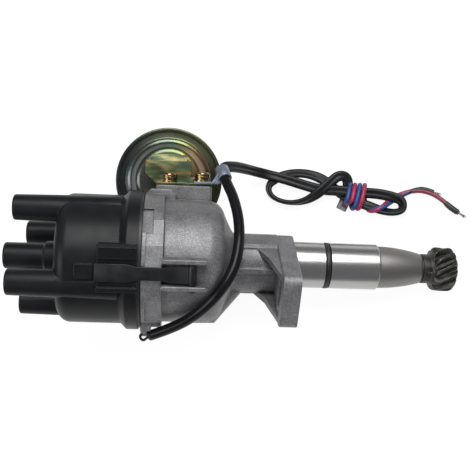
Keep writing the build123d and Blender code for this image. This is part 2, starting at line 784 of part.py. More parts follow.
def make_drive_gear():
    """Helical drive gear with its hub and rounded tooth ends."""
    twist = degrees(gear_w * tan(radians(gear_helix)) / ((gear_r + gear_root_r) / 2))
    section = Plane.YZ.offset(gear_x) * gear_section()
    teeth = Solid.extrude_linear_with_rotation(
        section.face(), (gear_x, 0, 0), (gear_w, 0, 0), -twist)
    rounding = 3.2
    envelope = [
        Line((gear_x, 0), (gear_x, gear_root_r - 0.6)),
        ThreePointArc((gear_x, gear_root_r - 0.6), (gear_x + 1.0, gear_r - 0.9),
                      (gear_x + rounding, gear_r)),
        Line((gear_x + rounding, gear_r), (gear_end_x - rounding, gear_r)),
        ThreePointArc((gear_end_x - rounding, gear_r), (gear_end_x - 0.9, gear_r - 1.0),
                      (gear_end_x, gear_root_r - 0.4)),
        Line((gear_end_x, gear_root_r - 0.4), (gear_end_x, 0)),
        Line((gear_end_x, 0), (gear_x, 0)),
    ]
    gear = Part() + teeth & revolve(make_face(envelope), axis=Axis.X)
    hub = turned([(gear_hub_x, 0), (gear_hub_x, gear_hub_r), (gear_x - 1.6, gear_hub_r),
                  (gear_x + 0.5, gear_root_r - 0.2), (gear_x + 0.5, 0)])
    gear = gear + hub
    gear -= rod_x_axis(gear_hub_x - 1, gear_end_x + 1, shaft_r + press_gap)
    gear -= Pos(gear_pin_x(), 0, 0) * Cylinder(gear_pin_r + press_gap, 40)
    return gear.solids()


def make_gear_washer():
    """Thrust washer between the housing's nose and the gear."""
    x0 = nose_end_x + 0.1
    return [tube_x_axis(x0, x0 + gear_washer_t, nose_end_r - 0.7, shaft_r + 0.1)]


def make_upper_bush():
    """Upper shaft bush, pressed into the bowl's floor."""
    x0 = bowl_floor_x - bush_proud
    return [tube_x_axis(x0, x0 + bush_len, bore_r - press_gap, shaft_r + running_gap)]


def make_lower_bush():
    """Lower shaft bush, pressed into the nose."""
    return [tube_x_axis(nose_end_x - lower_bush_len, nose_end_x - 0.2,
                        bore_r - press_gap, shaft_r + running_gap)]


def make_oil_seal():
    """Rubber seal that keeps the engine's oil out of the bowl."""
    return [tube_x_axis(seal_x, seal_x + seal_w, bore_r - press_gap, shaft_r + 0.05)]


def make_o_ring():
    """Rubber ring in the pilot's groove, a little proud of it."""
    low = pilot_r - o_ring_depth
    high = pilot_r + o_ring_proud
    section = Pos(o_ring_x, (low + high) / 2) * RectangleRounded(o_ring_w, high - low - 0.02, 1.1)
    return [revolve(section, axis=Axis.X)]


def make_shaft_washer():
    """Thrust washer between the upper bush and the governor."""
    x1 = bowl_floor_x - bush_proud - 0.05
    return [tube_x_axis(x1 - washer_t + 0.1, x1, 9.5, shaft_r + 0.1)]


# Governor

def make_governor_base():
    """Plate pressed on the shaft, with the posts of the two springs."""
    plan = Circle(governor_base_r) & Rectangle(2 * governor_base_r, 1.56 * governor_base_r)
    plate = yz_plate(plan - Circle(shaft_r + press_gap), governor_base_x, governor_base_t)
    for turn in (0, 180):
        at = round_the_shaft(base_post_angle + turn, base_post_at)
        plate += rod_x_axis(weight_x, governor_base_x + 1, base_post_r, at)
    return [plate]


def make_weight_pins():
    """Two pins that the weights swing on."""
    pins = []
    for side in (1, -1):
        pins.append(rod_x_axis(weight_x - 0.5, governor_base_x, weight_pin_r,
                               (side * weight_pivot_at, 0)))
    return pins


def governor_weight():
    """One bob weight: a thick arc from its pivot round the sleeve, with its post."""
    boss = Pos(weight_pivot_at, 0) * Circle(5.0)
    ring = Circle(weight_outer_r) - Circle(weight_inner_r)
    end = weight_end_angle
    far = 40
    wedge = make_face(Polyline((0, 0), (far, 0), round_the_shaft(end / 2, far),
                               round_the_shaft(end, far), close=True))
    plan = (ring & wedge) + boss - Pos(weight_pivot_at, 0) * Circle(weight_pin_r + running_gap)
    weight = yz_plate(plan, weight_x, weight_t)
    post = rod_x_axis(cam_plate_x + 0.2, weight_x + 1, weight_post_r, (0, weight_post_at))
    return weight + post


def make_governor_weight(turn):
    """A governor weight, turned to its side of the shaft."""
    return [Rot(X=turn) * governor_weight()]


def make_governor_springs():
    """Two close-wound springs, each with one snug eye and one with free play."""
    start = Vector(*round_the_shaft(base_post_angle, base_post_at))
    early = Vector(*round_the_shaft(cam_post_angle, cam_post_at))
    late = Vector(*round_the_shaft(cam_post_angle - advance_range, cam_post_at))
    loop = (early + late) * 0.5
    loop_r = (late - early).length / 2 + cam_post_r + clear_gap
    eye_r = base_post_r + 0.1
    along = loop - start
    reach = along.length
    tilt = degrees(atan2(along.Y, along.X))
    middle_x = weight_x + weight_t / 2
    wire = 2 * spring_wire_r
    coil0 = eye_r + wire - 0.1
    coil1 = reach - loop_r - wire + 0.1
    waves = 6
    step = (coil1 - coil0) / waves
    rim = [(coil0, 0)]
    for index in range(waves):
        rim += [(coil0 + index * step, spring_coil_r - 0.35),
                (coil0 + (index + 0.5) * step, spring_coil_r)]
    rim += [(coil1, spring_coil_r - 0.35), (coil1, 0)]
    coil = revolve(make_face(Polyline(*rim, close=True)), axis=Axis.X)
    flat = Circle(eye_r + wire) - Circle(eye_r)
    flat += Pos(reach, 0) * (Circle(loop_r + wire) - Circle(loop_r))
    spring = coil + extrude(flat, spring_wire_r, both=True)
    placed = Plane(origin=(middle_x, start.X, start.Y), x_dir=(0, cos(radians(tilt)),
                   sin(radians(tilt))), z_dir=(1, 0, 0)) * spring
    return [placed, Rot(X=180) * placed]


def make_cam_plate():
    """Plate on the sleeve that the weights' posts turn, with the springs' posts."""
    plan = Circle(cam_plate_r) - Circle(sleeve_r + press_gap)
    width = 2 * (weight_post_r + clear_gap)
    inner = weight_post_at - weight_post_r - clear_gap
    outer = weight_post_at + 4.3 + weight_post_r + clear_gap
    slot = Pos(0, (inner + outer) / 2) * Rot(Z=90) * SlotOverall(outer - inner, width)
    plan -= slot
    plan -= Rot(Z=180) * slot
    plate = yz_plate(plan, cam_plate_x, cam_plate_t)
    for turn in (0, 180):
        at = round_the_shaft(cam_post_angle + turn, cam_post_at)
        plate += rod_x_axis(cam_plate_x + 1, weight_x + weight_t - 0.4, cam_post_r, at)
    return [plate]


# Pickup

def make_base_plate():
    """Fixed plate on the bowl's ledge, with the hub that the pickup plate turns on."""
    plan = Circle(bowl_r - bowl_step - 0.15) - Circle(hub_hole_r)
    plate = yz_plate(plan, base_plate_x, base_plate_t)
    hub = tube_x_axis(base_plate_x - hub_len, base_plate_x + 0.5, hub_r, hub_hole_r)
    plate += hub
    for angle in base_screw_angles:
        at = round_the_shaft(angle, base_screw_at)
        plate -= rod_x_axis(base_plate_x - 1, base_plate_x + 4, 1.5 + press_gap, at)
    return [plate]


def make_base_screws():
    """Two screws that hold the base plate."""
    screws = []
    for angle in base_screw_angles:
        at = round_the_shaft(angle, base_screw_at)
        head = rod_x_axis(base_plate_x - 1.9, base_plate_x, 2.7, at)
        screws.append(head + rod_x_axis(base_plate_x - 1, base_plate_x + 8, 1.5, at))
    return screws


def make_pickup_plate():
    """Plate that the vacuum rod turns on the base plate's hub."""
    ear_angle = degrees(atan2(rod_pin_z, rod_pin_at))
    ear = Rot(Z=ear_angle) * Pos(22, 0) * Rectangle(19.4, plate_ear_w)
    plan = Circle(plate_r) + ear - Circle(hub_r + 0.08)
    plate = yz_plate(plan, pickup_plate_x, plate_t)
    return [plate]


def make_rod_pin():
    """Pin on the pickup plate that the vacuum rod's eye sits on."""
    return [rod_x_axis(rod_x - 0.9, pickup_plate_x, rod_pin_r, (rod_pin_at, rod_pin_z))]


def make_pickup_core():
    """Magnet foot and pole piece of the pickup, facing the reluctor."""
    inner = reluctor_r + pickup_air_gap
    foot = block((pickup_plate_x - 3.2, pickup_plate_x), (inner + 0.4, inner + 10), (-8, 8))
    back = block((reluctor_x + 1, pickup_plate_x), (inner + 7.2, inner + 10), (-3.4, 3.4))
    pole = block((reluctor_x + 2, reluctor_x + 6), (inner, inner + 8), (-2, 2))
    return [Rot(X=pickup_angle) * (foot + back + pole)]


def make_pickup_coil():
    """Winding on the pickup's pole piece."""
    inner = reluctor_r + pickup_air_gap
    coil = block((reluctor_x, reluctor_x + 8), (inner + 1.2, inner + 6.9), (-4, 4))
    coil -= block((reluctor_x + 2, reluctor_x + 6), (inner, inner + 8), (-2, 2))
    return [Rot(X=pickup_angle) * coil]


def make_reluctor():
    """Four-toothed signal rotor on the sleeve."""
    plan = Circle(reluctor_hub_r)
    for index in range(tower_count):
        tooth = Pos(reluctor_r / 2, 0) * Rectangle(reluctor_r, reluctor_tooth_w)
        plan += Rot(Z=pickup_angle + index * 360 / tower_count) * tooth
    plan -= Circle(sleeve_r + press_gap)
    return [yz_plate(plan, reluctor_x, reluctor_w)]


def make_dust_shield():
    """Thin moulded disc that keeps rotor dust off the pickup."""
    x1 = reluctor_x - 2.0
    return [tube_x_axis(x1 - shield_t, x1, bowl_r - 0.2, shield_hole_r)]


# Clips

def clip_blank():
    """One spring-steel clip, drawn over +Z with its eye at the pin."""
    half, waist = clip_w / 2, clip_waist_w / 2
    x_in = clip_pin_x - 1.2
    plan = Polyline((clip_hook_x - clip_t, -half), (-97, -half), (-92, -waist), (-76, -waist),
                    (-71, -half), (x_in, -half), (x_in, half), (-71, half), (-76, waist),
                    (-92, waist), (-97, half), (clip_hook_x - clip_t, half), close=True)
    strap = extrude(Plane.XY.offset(clip_bottom) * make_face(plan), clip_t)
    hook = block((clip_hook_x - clip_t, clip_hook_x), (-half, half),
                 (clip_ledge_at - clip_hook_depth, clip_bottom + clip_t))
    eye = Pos(clip_pin_x, 0, clip_pin_at) * Rot(X=90) * Cylinder(clip_eye_r, clip_w + 0.6)
    hole = Pos(clip_pin_x, 0, clip_pin_at) * Rot(X=90) * Cylinder(clip_pin_r + 0.06, clip_w + 2)
    return strap + hook + eye - hole


def make_clip(turn):
    """A clip turned to its side of the shaft."""
    return [Rot(X=turn) * clip_blank()]


def make_clip_pins():
    """Pins of the two clips, with a flat head outside the lower guard."""
    pins = []
    half = guard_gap + guard_t
    for turn in clip_angles:
        pin = Pos(clip_pin_x, 0, clip_pin_at) * Rot(X=90) * Cylinder(clip_pin_r, 2 * half)
        head = Pos(clip_pin_x, -half - 0.4, clip_pin_at) * Rot(X=90) * Cylinder(2.3, 0.8)
        pins.append(Rot(X=turn) * (pin + head))
    return pins


# Vacuum can

def can_turned(profile):
    """Solid of revolution about the can's axis, from a closed list of (radius, z)."""
    points = [(radius, z) for radius, z in profile]
    face = make_face(Plane.XZ * Polyline(*points, close=True))
    return Pos(can_x, can_y, 0) * revolve(face, axis=Axis.Z)


def make_can_front():
    """Stepped front shell with a hole for the rod's stem."""
    t = can_sheet
    face, z = can_face_r, can_face_z
    hole = rod_stem_r + 0.6
    flange = can_flange_z
    profile = [(hole, z), (face, z), (face + 3.2, z - 1.1), (face + 4.7, z - 3.6),
               (face + 5.3, -32.2), (can_step_r - 1.4, -33.2), (can_step_r, -34.8),
               (can_step_r, flange), (can_r - t - 0.05, flange),
               (can_r - t - 0.05, flange - t), (can_step_r - t, flange - t),
               (can_step_r - t, -35.2), (can_step_r - 1.9, -34.2), (face + 4.4, -33.2),
               (face + 3.7, z - 4.0), (face + 2.6, z - 1.9), (face - 0.3, z - t), (hole, z - t)]
    return [can_turned(profile)]


def make_can_rear():
    """Rear shell, crimped round the front one, with the nipple's hole."""
    t = can_sheet
    back = can_back_z
    rim, flange = can_r, can_back_flange_z
    profile = [(nipple_r + press_gap, back + t), (17, back + t), (20.5, back + 2.4), (can_step_r - t, flange - 4),
               (can_step_r - t, flange), (rim - t, flange), (rim - t, can_rim_z - t + 0.02),
               (rim - 2.6, can_rim_z - t + 0.02), (rim - 2.6, can_rim_z), (rim - 0.6, can_rim_z),
               (rim, can_rim_z - 0.6), (rim, flange - t), (can_step_r, flange - t),
               (can_step_r, flange - 4.4), (21.2, back + 1.6), (17.5, back),
               (nipple_r + press_gap, back)]
    return [can_turned(profile)]


def make_can_nipple():
    """Hose nipple, brazed into the rear shell from inside."""
    back, tip = can_back_z, can_back_z - nipple_len
    return [can_turned([(nipple_bore_r, back + can_sheet + 0.8), (nipple_r + 1.6, back + can_sheet + 0.8),
                        (nipple_r + 1.6, back + can_sheet), (nipple_r, back + can_sheet),
                        (nipple_r, tip + 2.6), (nipple_r + 0.5, tip + 2.0),
                        (nipple_r - 0.4, tip), (nipple_bore_r, tip)])]


def make_diaphragm_rim():
    """Clamped edge of the rubber diaphragm, between the two shells."""
    return [can_turned([(can_step_r - can_sheet, diaphragm_z), (can_r - can_sheet - 0.05, diaphragm_z),
                        (can_r - can_sheet - 0.05, can_back_flange_z),
                        (can_step_r - can_sheet, can_back_flange_z)])]


def make_diaphragm():
    """Middle of the rubber diaphragm, which moves with the rod."""
    edge = can_step_r - can_sheet - clear_gap
    z0, z1 = diaphragm_z, can_back_flange_z
    hole = rod_stem_r + press_gap
    return [can_turned([(hole, z0), (18, z0), (20, z0 - 1.0), (22.5, z0 - 1.0), (edge, z0),
                        (edge, z1), (22.5, z1 - 1.0), (20, z1 - 1.0), (18, z1), (hole, z1)])]


def make_diaphragm_cup():
    """Steel cup behind the diaphragm that seats the spring."""
    z = can_back_flange_z
    hole = rod_stem_r + press_gap
    return [can_turned([(hole, z), (14, z), (14, z - 2.4), (13, z - 2.4), (13, z - 0.9),
                        (hole, z - 0.9)])]


def make_can_spring():
    """Coil spring between the diaphragm's cup and the rear shell."""
    wire = 0.7
    z0 = can_back_z + can_sheet
    z1 = can_back_flange_z - 0.9
    turns = 3.5
    height = z1 - z0 - 2 * wire - 0.1
    path = Helix(height / turns, height, 9.0)
    start = Plane(path @ 0, z_dir=path % 0)
    spring = sweep(start * Circle(wire), path=path, is_frenet=True)
    return [Pos(can_x, can_y, z0 + wire + 0.05) * spring]


def make_vacuum_rod():
    """Diaphragm stem with the stamped arm that reaches the pickup plate's pin."""
    eye_y, eye_z = rod_pin_at, rod_pin_z
    half = 2.6
    top = can_y + rod_stem_r
    z0, z1 = rod_drop_z, rod_drop_z + rod_w
    arm = make_face(Polyline((top, z0), (top, z1), (eye_y + half, z1), (eye_y + half, eye_z),
                             (eye_y - half, eye_z), (eye_y - half, z0), close=True))
    arm += Pos(eye_y, eye_z) * Circle(half)
    arm -= Pos(eye_y, eye_z) * Circle(rod_pin_r + 0.14)
    strip = yz_plate(arm, rod_x, rod_t)
    stem = bar_z(can_x, can_y, can_back_flange_z - 0.9, z1, rod_stem_r)
    neck = block((can_x, rod_x + 0.1), (can_y - 1.6, can_y + 1.6), (z0, z1))
    return [strip + stem + neck]


def make_vacuum_bracket():
    """Folded bracket: tab on the can, shelf, face plate and foot on the turret."""
    t = bracket_t
    x0, x1 = bracket_x0, bracket_x0 + bracket_w
    y0, y1 = turret_top, turret_top + bracket_h
    c = bracket_chamfer
    plan = make_face(Polyline((x0, y0 + c), (x0, y1), (x1, y1), (x1, y0 + c * 0.8),
                              (x1 - c, y0), (x0 + c, y0), close=True))
    face = extrude(Plane.XY.offset(bracket_z) * plan, t)
    shelf = block((x0, x1), (y1 - t, y1), (can_face_z, bracket_z + 0.5))
    tab = block((x0 + 3, x1 - 3), (y1 - t, y1 + 4.4), (can_face_z, can_face_z + t))
    foot = block((x0 + c + 0.6, turret_x1 - 0.6), (y0, y0 + t), (bracket_z, bracket_foot_z))
    wing = block((x1 - c, turret_x1 - 0.6), (y0, y0 + 5.2), (bracket_z, bracket_z + t))
    bracket = face + shelf + tab + foot + wing
    bracket -= bar_z(can_x, can_y, can_face_z - 1, can_face_z + 4, rod_stem_r + 1)
    for x in screw_xs:
        bracket -= Pos(x, turret_top, screw_z) * Rot(X=90) * Cylinder(screw_r + press_gap, 20)
    return [bracket]


def screw_stack(x):
    """Heights along Y of a bracket screw's washers and head."""
    base = turret_top + bracket_t
    if x == screw_xs[1]:
        base += clamp_t
    return base, base + flat_washer_t, base + flat_washer_t + spring_washer_t


def make_bracket_screws():
    """Two cross-head screws in the turret."""
    screws = []
    for x in screw_xs:
        seat = screw_stack(x)[2]
        shank = Pos(x, seat - 6, screw_z) * Rot(X=90) * Cylinder(screw_r, 14)
        head = Pos(x, seat + screw_head_t / 2, screw_z) * Rot(X=90)
        head = head * Cylinder(screw_head_r, screw_head_t)
        head = fillet(head.edges().group_by(Axis.Y)[-1], 1.2)
        for turn in (0, 90):
            cross = Pos(x, seat + screw_head_t, screw_z) * Rot(Y=turn) * Box(5, 3, 1)
            head -= cross
        screws.append(shank + head)
    return screws


def make_screw_washers():
    """A flat washer and a split spring washer under each bracket screw."""
    pieces = []
    for x in screw_xs:
        low, middle, high = screw_stack(x)
        for y0, y1, outer, split in ((low, middle, washer_r, False), (middle, high, 3.9, True)):
            ring = Cylinder(outer, y1 - y0) - Cylinder(screw_r + 0.1, y1 - y0 + 1)
            if split:
                ring -= Rot(Z=20) * Pos(outer / 2 + 1, 0, 0) * Box(outer + 2, 0.6, 4)
            pieces.append(Pos(x, (y0 + y1) / 2, screw_z) * Rot(X=90) * ring)
    return pieces


# Lead

def clamp_frame():
    """Plane at the clamp's lower end, along the lead."""
    end = Vector(*sleeve_route()[-1])
    before = Vector(*sleeve_route()[-2])
    along = (end - before).normalized()
    return Plane(origin=before + along * 3.2, z_dir=along)


def make_lead_clamp():
    """Sheet clamp round the lead, with its tab under the second bracket screw."""
    y0 = turret_top + bracket_t
    outer = sleeve_tube_r + clear_gap + clamp_t
    ring = clamp_frame() * (Pos(0, 0, clamp_w / 2) * Cylinder(outer, clamp_w))
    tab = block((screw_xs[1] - 5, -49.5), (y0, y0 + clamp_t), (bracket_z + 1.8, bracket_foot_z))
    arm = extrude(Plane.XY.offset(-8.4) * make_face(Polyline(
        (-50, y0), (-46.2, y0), (-41.8, y0 + 3.2), (-46.4, y0 + 7.2), (-50, y0 + clamp_t),
        close=True)), 6.2)
    clamp = tab + arm + ring
    clamp -= clamp_frame() * (Pos(0, 0, clamp_w / 2) * Cylinder(outer - clamp_t, clamp_w + 14))
    clamp -= Pos(screw_xs[1], y0, screw_z) * Rot(X=90) * Cylinder(screw_r + press_gap, 6)
    return [clamp.solids().sort_by(SortBy.VOLUME)[-1]]


def grommet_block(extra=0.0):
    """Rubber block that fills the notch in the collar's rim."""
    half = grommet_w / 2 + extra
    return block((rim_x - extra, rim_x + grommet_len + extra),
                 (lead_seat_y - 3 * extra, -33 + extra), (grommet_z - half, grommet_z + half))


def make_lead_grommet():
    """Grommet of the lead, with a lip outside its seat and a hole for the wires."""
    start = Vector(*stub_bends[0])
    half = grommet_w / 2 + 1
    lip = block((rim_x + 0.2, rim_x + grommet_len - 0.8), (lead_seat_y - grommet_lip, lead_seat_y),
                (grommet_z - half, grommet_z + half))
    lip = fillet(lip.edges().filter_by(Axis.Y), 1.0)
    hole = Pos(start.X, lead_seat_y - grommet_lip, start.Z) * Rot(X=90)
    return [grommet_block() + lip - hole * Cylinder(stub_r + 0.4, 2)]


def make_hank():
    """Outer shape of the tied hank of spare lead, lying on the table."""
    table = Plane(origin=(0, 0, table_z), x_dir=(1, 0, table_rise_x),
                  z_dir=(-table_rise_x, -table_rise_y, 1))
    corners = [table.to_local_coords(Vector(*over_table(x, y, 0))) for x, y in hank_outline]
    plan = make_face(Polyline(*[(c.X, c.Y) for c in corners], close=True))
    hank = extrude(Plane.XY.offset(hank_lift) * plan, hank_h)
    hank = fillet(hank.edges().filter_by(Axis.Z), 2.5)
    return [table * hank]


NODES = {
    "housing": make_housing,
    "cap": make_cap,
    "cap_gasket": make_cap_gasket,
    "plug_terminals": make_plug_terminals,
    "coil_terminal": make_coil_terminal,
    "carbon_brush": make_carbon_brush,
    "brush_spring": make_brush_spring,
    "rotor_arm": make_rotor_arm,
    "rotor_electrode": make_rotor_electrode,
    "rotor_sleeve": make_rotor_sleeve,
    "sleeve_screw": make_sleeve_screw,
    "main_shaft": make_main_shaft,
    "drive_gear": make_drive_gear,
    "gear_pin": make_gear_pin,
    "gear_washer": make_gear_washer,
    "upper_bush": make_upper_bush,
    "lower_bush": make_lower_bush,
    "oil_seal": make_oil_seal,
    "o_ring": make_o_ring,
    "shaft_washer": make_shaft_washer,
    "governor_base": make_governor_base,
    "weight_pins": make_weight_pins,
    "governor_weight_a": lambda: make_governor_weight(0),
    "governor_weight_b": lambda: make_governor_weight(180),
    "governor_springs": make_governor_springs,
    "cam_plate": make_cam_plate,
    "base_plate": make_base_plate,
    "base_plate_screws": make_base_screws,
    "pickup_plate": make_pickup_plate,
    "rod_pin": make_rod_pin,
    "pickup_core": make_pickup_core,
    "pickup_coil": make_pickup_coil,
    "reluctor": make_reluctor,
    "dust_shield": make_dust_shield,
    "clip_front": lambda: make_clip(clip_angles[0]),
    "clip_rear": lambda: make_clip(clip_angles[1]),
    "clip_pins": make_clip_pins,
    "can_front": make_can_front,
    "can_rear": make_can_rear,
    "can_nipple": make_can_nipple,
    "diaphragm_rim": make_diaphragm_rim,
    "diaphragm": make_diaphragm,
    "diaphragm_cup": make_diaphragm_cup,
    "can_spring": make_can_spring,
    "vacuum_rod": make_vacuum_rod,
    "vacuum_bracket": make_vacuum_bracket,
    "bracket_screws": make_bracket_screws,
    "screw_washers": make_screw_washers,
    "lead_clamp": make_lead_clamp,
    "lead_grommet": make_lead_grommet,
    "lead_stub": lambda: [lead_tube(stub_bends + [sleeve_route()[0]], stub_r)],
    "lead_sleeve": lambda: [lead_tube(sleeve_route(), sleeve_tube_r)],
    "lead_run": lambda: [lead_tube([sleeve_route()[-1]] + lead_bends, lead_r)],
    "lead_hank": make_hank,
    "lead_tail": lambda: [lead_tube([over_table(x, y, tail_lift) for x, y in tail_way], tail_r)],
}

os.makedirs("parts", exist_ok=True)
for node, make in NODES.items():
    solids = []
    for shape in make():
        solids += list(shape.solids())
    export_step(Compound(children=solids) if len(solids) > 1 else solids[0],
                "parts/" + node + ".step")
    print(node, len(solids), round(sum(solid.volume for solid in solids), 1))
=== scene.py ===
"""Looks of the ignition distributor: camera, light, finishes, and the pieces made here."""

import json
import logging
import math
from dataclasses import dataclass
from enum import Enum
from typing import Optional, Sequence, Union

import bmesh
import bpy
from mathutils import Matrix, Vector

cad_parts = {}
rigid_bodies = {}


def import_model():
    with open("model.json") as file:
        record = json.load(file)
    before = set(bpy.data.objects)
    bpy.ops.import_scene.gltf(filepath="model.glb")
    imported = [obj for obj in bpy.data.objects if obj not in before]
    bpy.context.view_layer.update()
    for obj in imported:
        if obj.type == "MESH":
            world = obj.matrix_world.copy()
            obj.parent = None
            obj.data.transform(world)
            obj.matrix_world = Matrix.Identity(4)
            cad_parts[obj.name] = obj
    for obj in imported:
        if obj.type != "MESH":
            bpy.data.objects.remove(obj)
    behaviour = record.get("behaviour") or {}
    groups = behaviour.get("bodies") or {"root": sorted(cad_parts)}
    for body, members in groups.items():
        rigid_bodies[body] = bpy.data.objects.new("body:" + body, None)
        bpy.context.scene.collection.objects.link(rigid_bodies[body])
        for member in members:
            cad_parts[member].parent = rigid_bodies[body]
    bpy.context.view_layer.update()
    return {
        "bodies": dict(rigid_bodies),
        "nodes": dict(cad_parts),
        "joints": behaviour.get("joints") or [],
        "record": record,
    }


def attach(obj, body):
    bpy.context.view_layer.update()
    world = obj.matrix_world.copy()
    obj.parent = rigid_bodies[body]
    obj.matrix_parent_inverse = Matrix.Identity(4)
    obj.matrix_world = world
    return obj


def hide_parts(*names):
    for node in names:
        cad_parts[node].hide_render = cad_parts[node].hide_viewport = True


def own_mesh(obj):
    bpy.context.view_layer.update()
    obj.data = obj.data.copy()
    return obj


log = logging.getLogger("distributor")
MM = 0.001
Point = tuple[float, float, float]
Node = bpy.types.Node
Socket = bpy.types.NodeSocket
Piece = bpy.types.Object

# Places that several pieces share, in millimetres
CAN_X = -76.8
CAN_Y = 49.0
CLAMP_EXIT: Point = (-43.1, 53.6, -4.6)
LEAD_END: Point = (37.6, 34.6, -35.8)

# How far the painted crevice shade reaches, in millimetres
PAINTED_SHADE_REACH = 3.0

# Cosines between the rounded and the plain normal at which the edge wear and painted edge highlight
# start and are full
EDGE_TURN = (0.995, 0.9)
# Strongest share of the edge wear and painted edge highlight
EDGE_WEAR_AND_HIGHLIGHT = 0.85

# Points of a mesh that are closer than this are one, in millimetres
MERGE = 0.001
COPY_MERGE = 0.002

# How near a turned form's points lie to the ring that they belong to, in millimetres
RING_REACH = 0.02

# Edges that turn by more than this are sharp, in degrees
SHARP_ANGLE = 35.0


class Ends(Enum):
    """What a swept line does at its two ends."""

    CLOSED = "closed"
    OPEN = "open"


def linear(hex_colour: str) -> tuple[float, float, float, float]:
    """Turn an sRGB hex colour into Blender's linear colour.

    Args:
        hex_colour: six hex digits after a hash.

    Returns:
        Red, green, blue and an alpha of 1.
    """
    values = [int(hex_colour[i:i + 2], 16) / 255 for i in (1, 3, 5)]
    red, green, blue = (v / 12.92 if v <= 0.04045 else ((v + 0.055) / 1.055) ** 2.4 for v in values)
    return red, green, blue, 1.0


class Nodes:
    """The shader nodes of a material or of the world."""

    def __init__(self, owner: Union[bpy.types.Material, bpy.types.World]) -> None:
        """Take up the node tree of a material or world."""
        owner.use_nodes = True
        self.tree = owner.node_tree

    def feed(self, node: Node, inputs: dict) -> None:
        """Set or link what a node takes in.

        Args:
            node: the node.
            inputs: attribute names, or input names or numbers, with a value or a feeding socket.
        """
        for name, value in inputs.items():
            if isinstance(value, Socket):
                self.tree.links.new(value, node.inputs[name])
            elif isinstance(name, str) and hasattr(node, name):
                setattr(node, name, value)
            else:
                node.inputs[name].default_value = value

    def add(self, kind: str, inputs: Optional[dict] = None) -> Node:
        """Add a shader node of a kind, and feed it."""
        node = self.tree.nodes.new("ShaderNode" + kind)
        self.feed(node, inputs or {})
        return node

    def calc(self, operation: str, *values: Union[float, Socket]) -> Socket:
        """Work out one value from numbers or sockets, in the math node's order."""
        return self.add("Math", {"operation": operation, **dict(enumerate(values))}).outputs[0]

    def remap(self, value: Socket, source: tuple[float, float],
              target: tuple[float, float] = (0.0, 1.0)) -> Socket:
        """Map a value from the source range to the target range, and clamp it there."""
        return self.add("MapRange", {0: value, 1: source[0], 2: source[1],
                                     3: target[0], 4: target[1]}).outputs[0]

    def mixed(self, share: Union[float, Socket], base: Union[tuple, Socket],
              over: Union[str, Socket], blend: str = "MIX") -> Socket:
        """Mix a second colour over a first one.

        Args:
            share: how much of the second colour shows.
            base: the first colour.
            over: the second colour, as a socket or in hex.
            blend: the mix node's way of mixing.

        Returns:
            The mixed colour's socket.
        """
        second = linear(over) if isinstance(over, str) else over
        return self.add("Mix", {"data_type": "RGBA", "blend_type": blend,
                                0: share, 6: base, 7: second}).outputs[2]

    def ramp(self, factor: Socket, stops: Sequence[tuple[float, str]]) -> Socket:
        """Colour a value by a ramp.

        Args:
            factor: the socket that drives the ramp.
            stops: place from 0 to 1, and colour in hex.

        Returns:
            The colour's socket.
        """
        node = self.add("ValToRGB", {0: factor})
        marks = node.color_ramp.elements
        while len(marks) < len(stops):
            marks.new(0.5)
        for mark, (place, colour) in zip(marks, stops):
            mark.position = place
            mark.color = linear(colour)
        return node.outputs["Color"]

    def noise(self, place: Socket, size_mm: float, detail: float, roughness: float = 0.5,
              distortion: float = 0.0) -> Socket:
        """Add noise with features of a size.

        Args:
            place: coordinates in metres.
            size_mm: the features' size in millimetres.
            detail: how many finer layers the noise has.
            roughness: how strong the finer layers are.
            distortion: how much the noise is warped.

        Returns:
            The noise's socket.
        """
        return self.add("TexNoise", {
            "Vector": place, "Scale": 1.0 / (size_mm * MM), "Detail": detail,
            "Roughness": roughness, "Distortion": distortion}).outputs["Fac"]


class Surface(Nodes):
    """A material in the making: its shader, coordinates on the object, and two noises."""

    def __init__(self, material: bpy.types.Material, patch_mm: float, grain_mm: float) -> None:
        """Lay out the coordinates and the noises.

        Args:
            material: the material.
            patch_mm: size of the broad noise's patches, in millimetres.
            grain_mm: size of the fine noise's grains, in millimetres.
        """
        super().__init__(material)
        self.shader = self.tree.nodes["Principled BSDF"]
        self.place = self.add("TexCoord").outputs["Object"]
        self.patches = self.noise(self.place, patch_mm, 4.0, 0.55)
        self.grain = self.noise(self.place, grain_mm, 3.0, 0.6)


@dataclass(frozen=True)
class Table:
    """The table top that the distributor lies on, tilted against its shaft."""

    level: float = -35.435
    rise_x: float = 0.2177
    rise_y: float = -0.2984

    def over(self, x: float, y: float, lift: float) -> Point:
        """Give the point at a lift over the table, in millimetres."""
        return x, y, self.level + self.rise_x * x + self.rise_y * y + lift


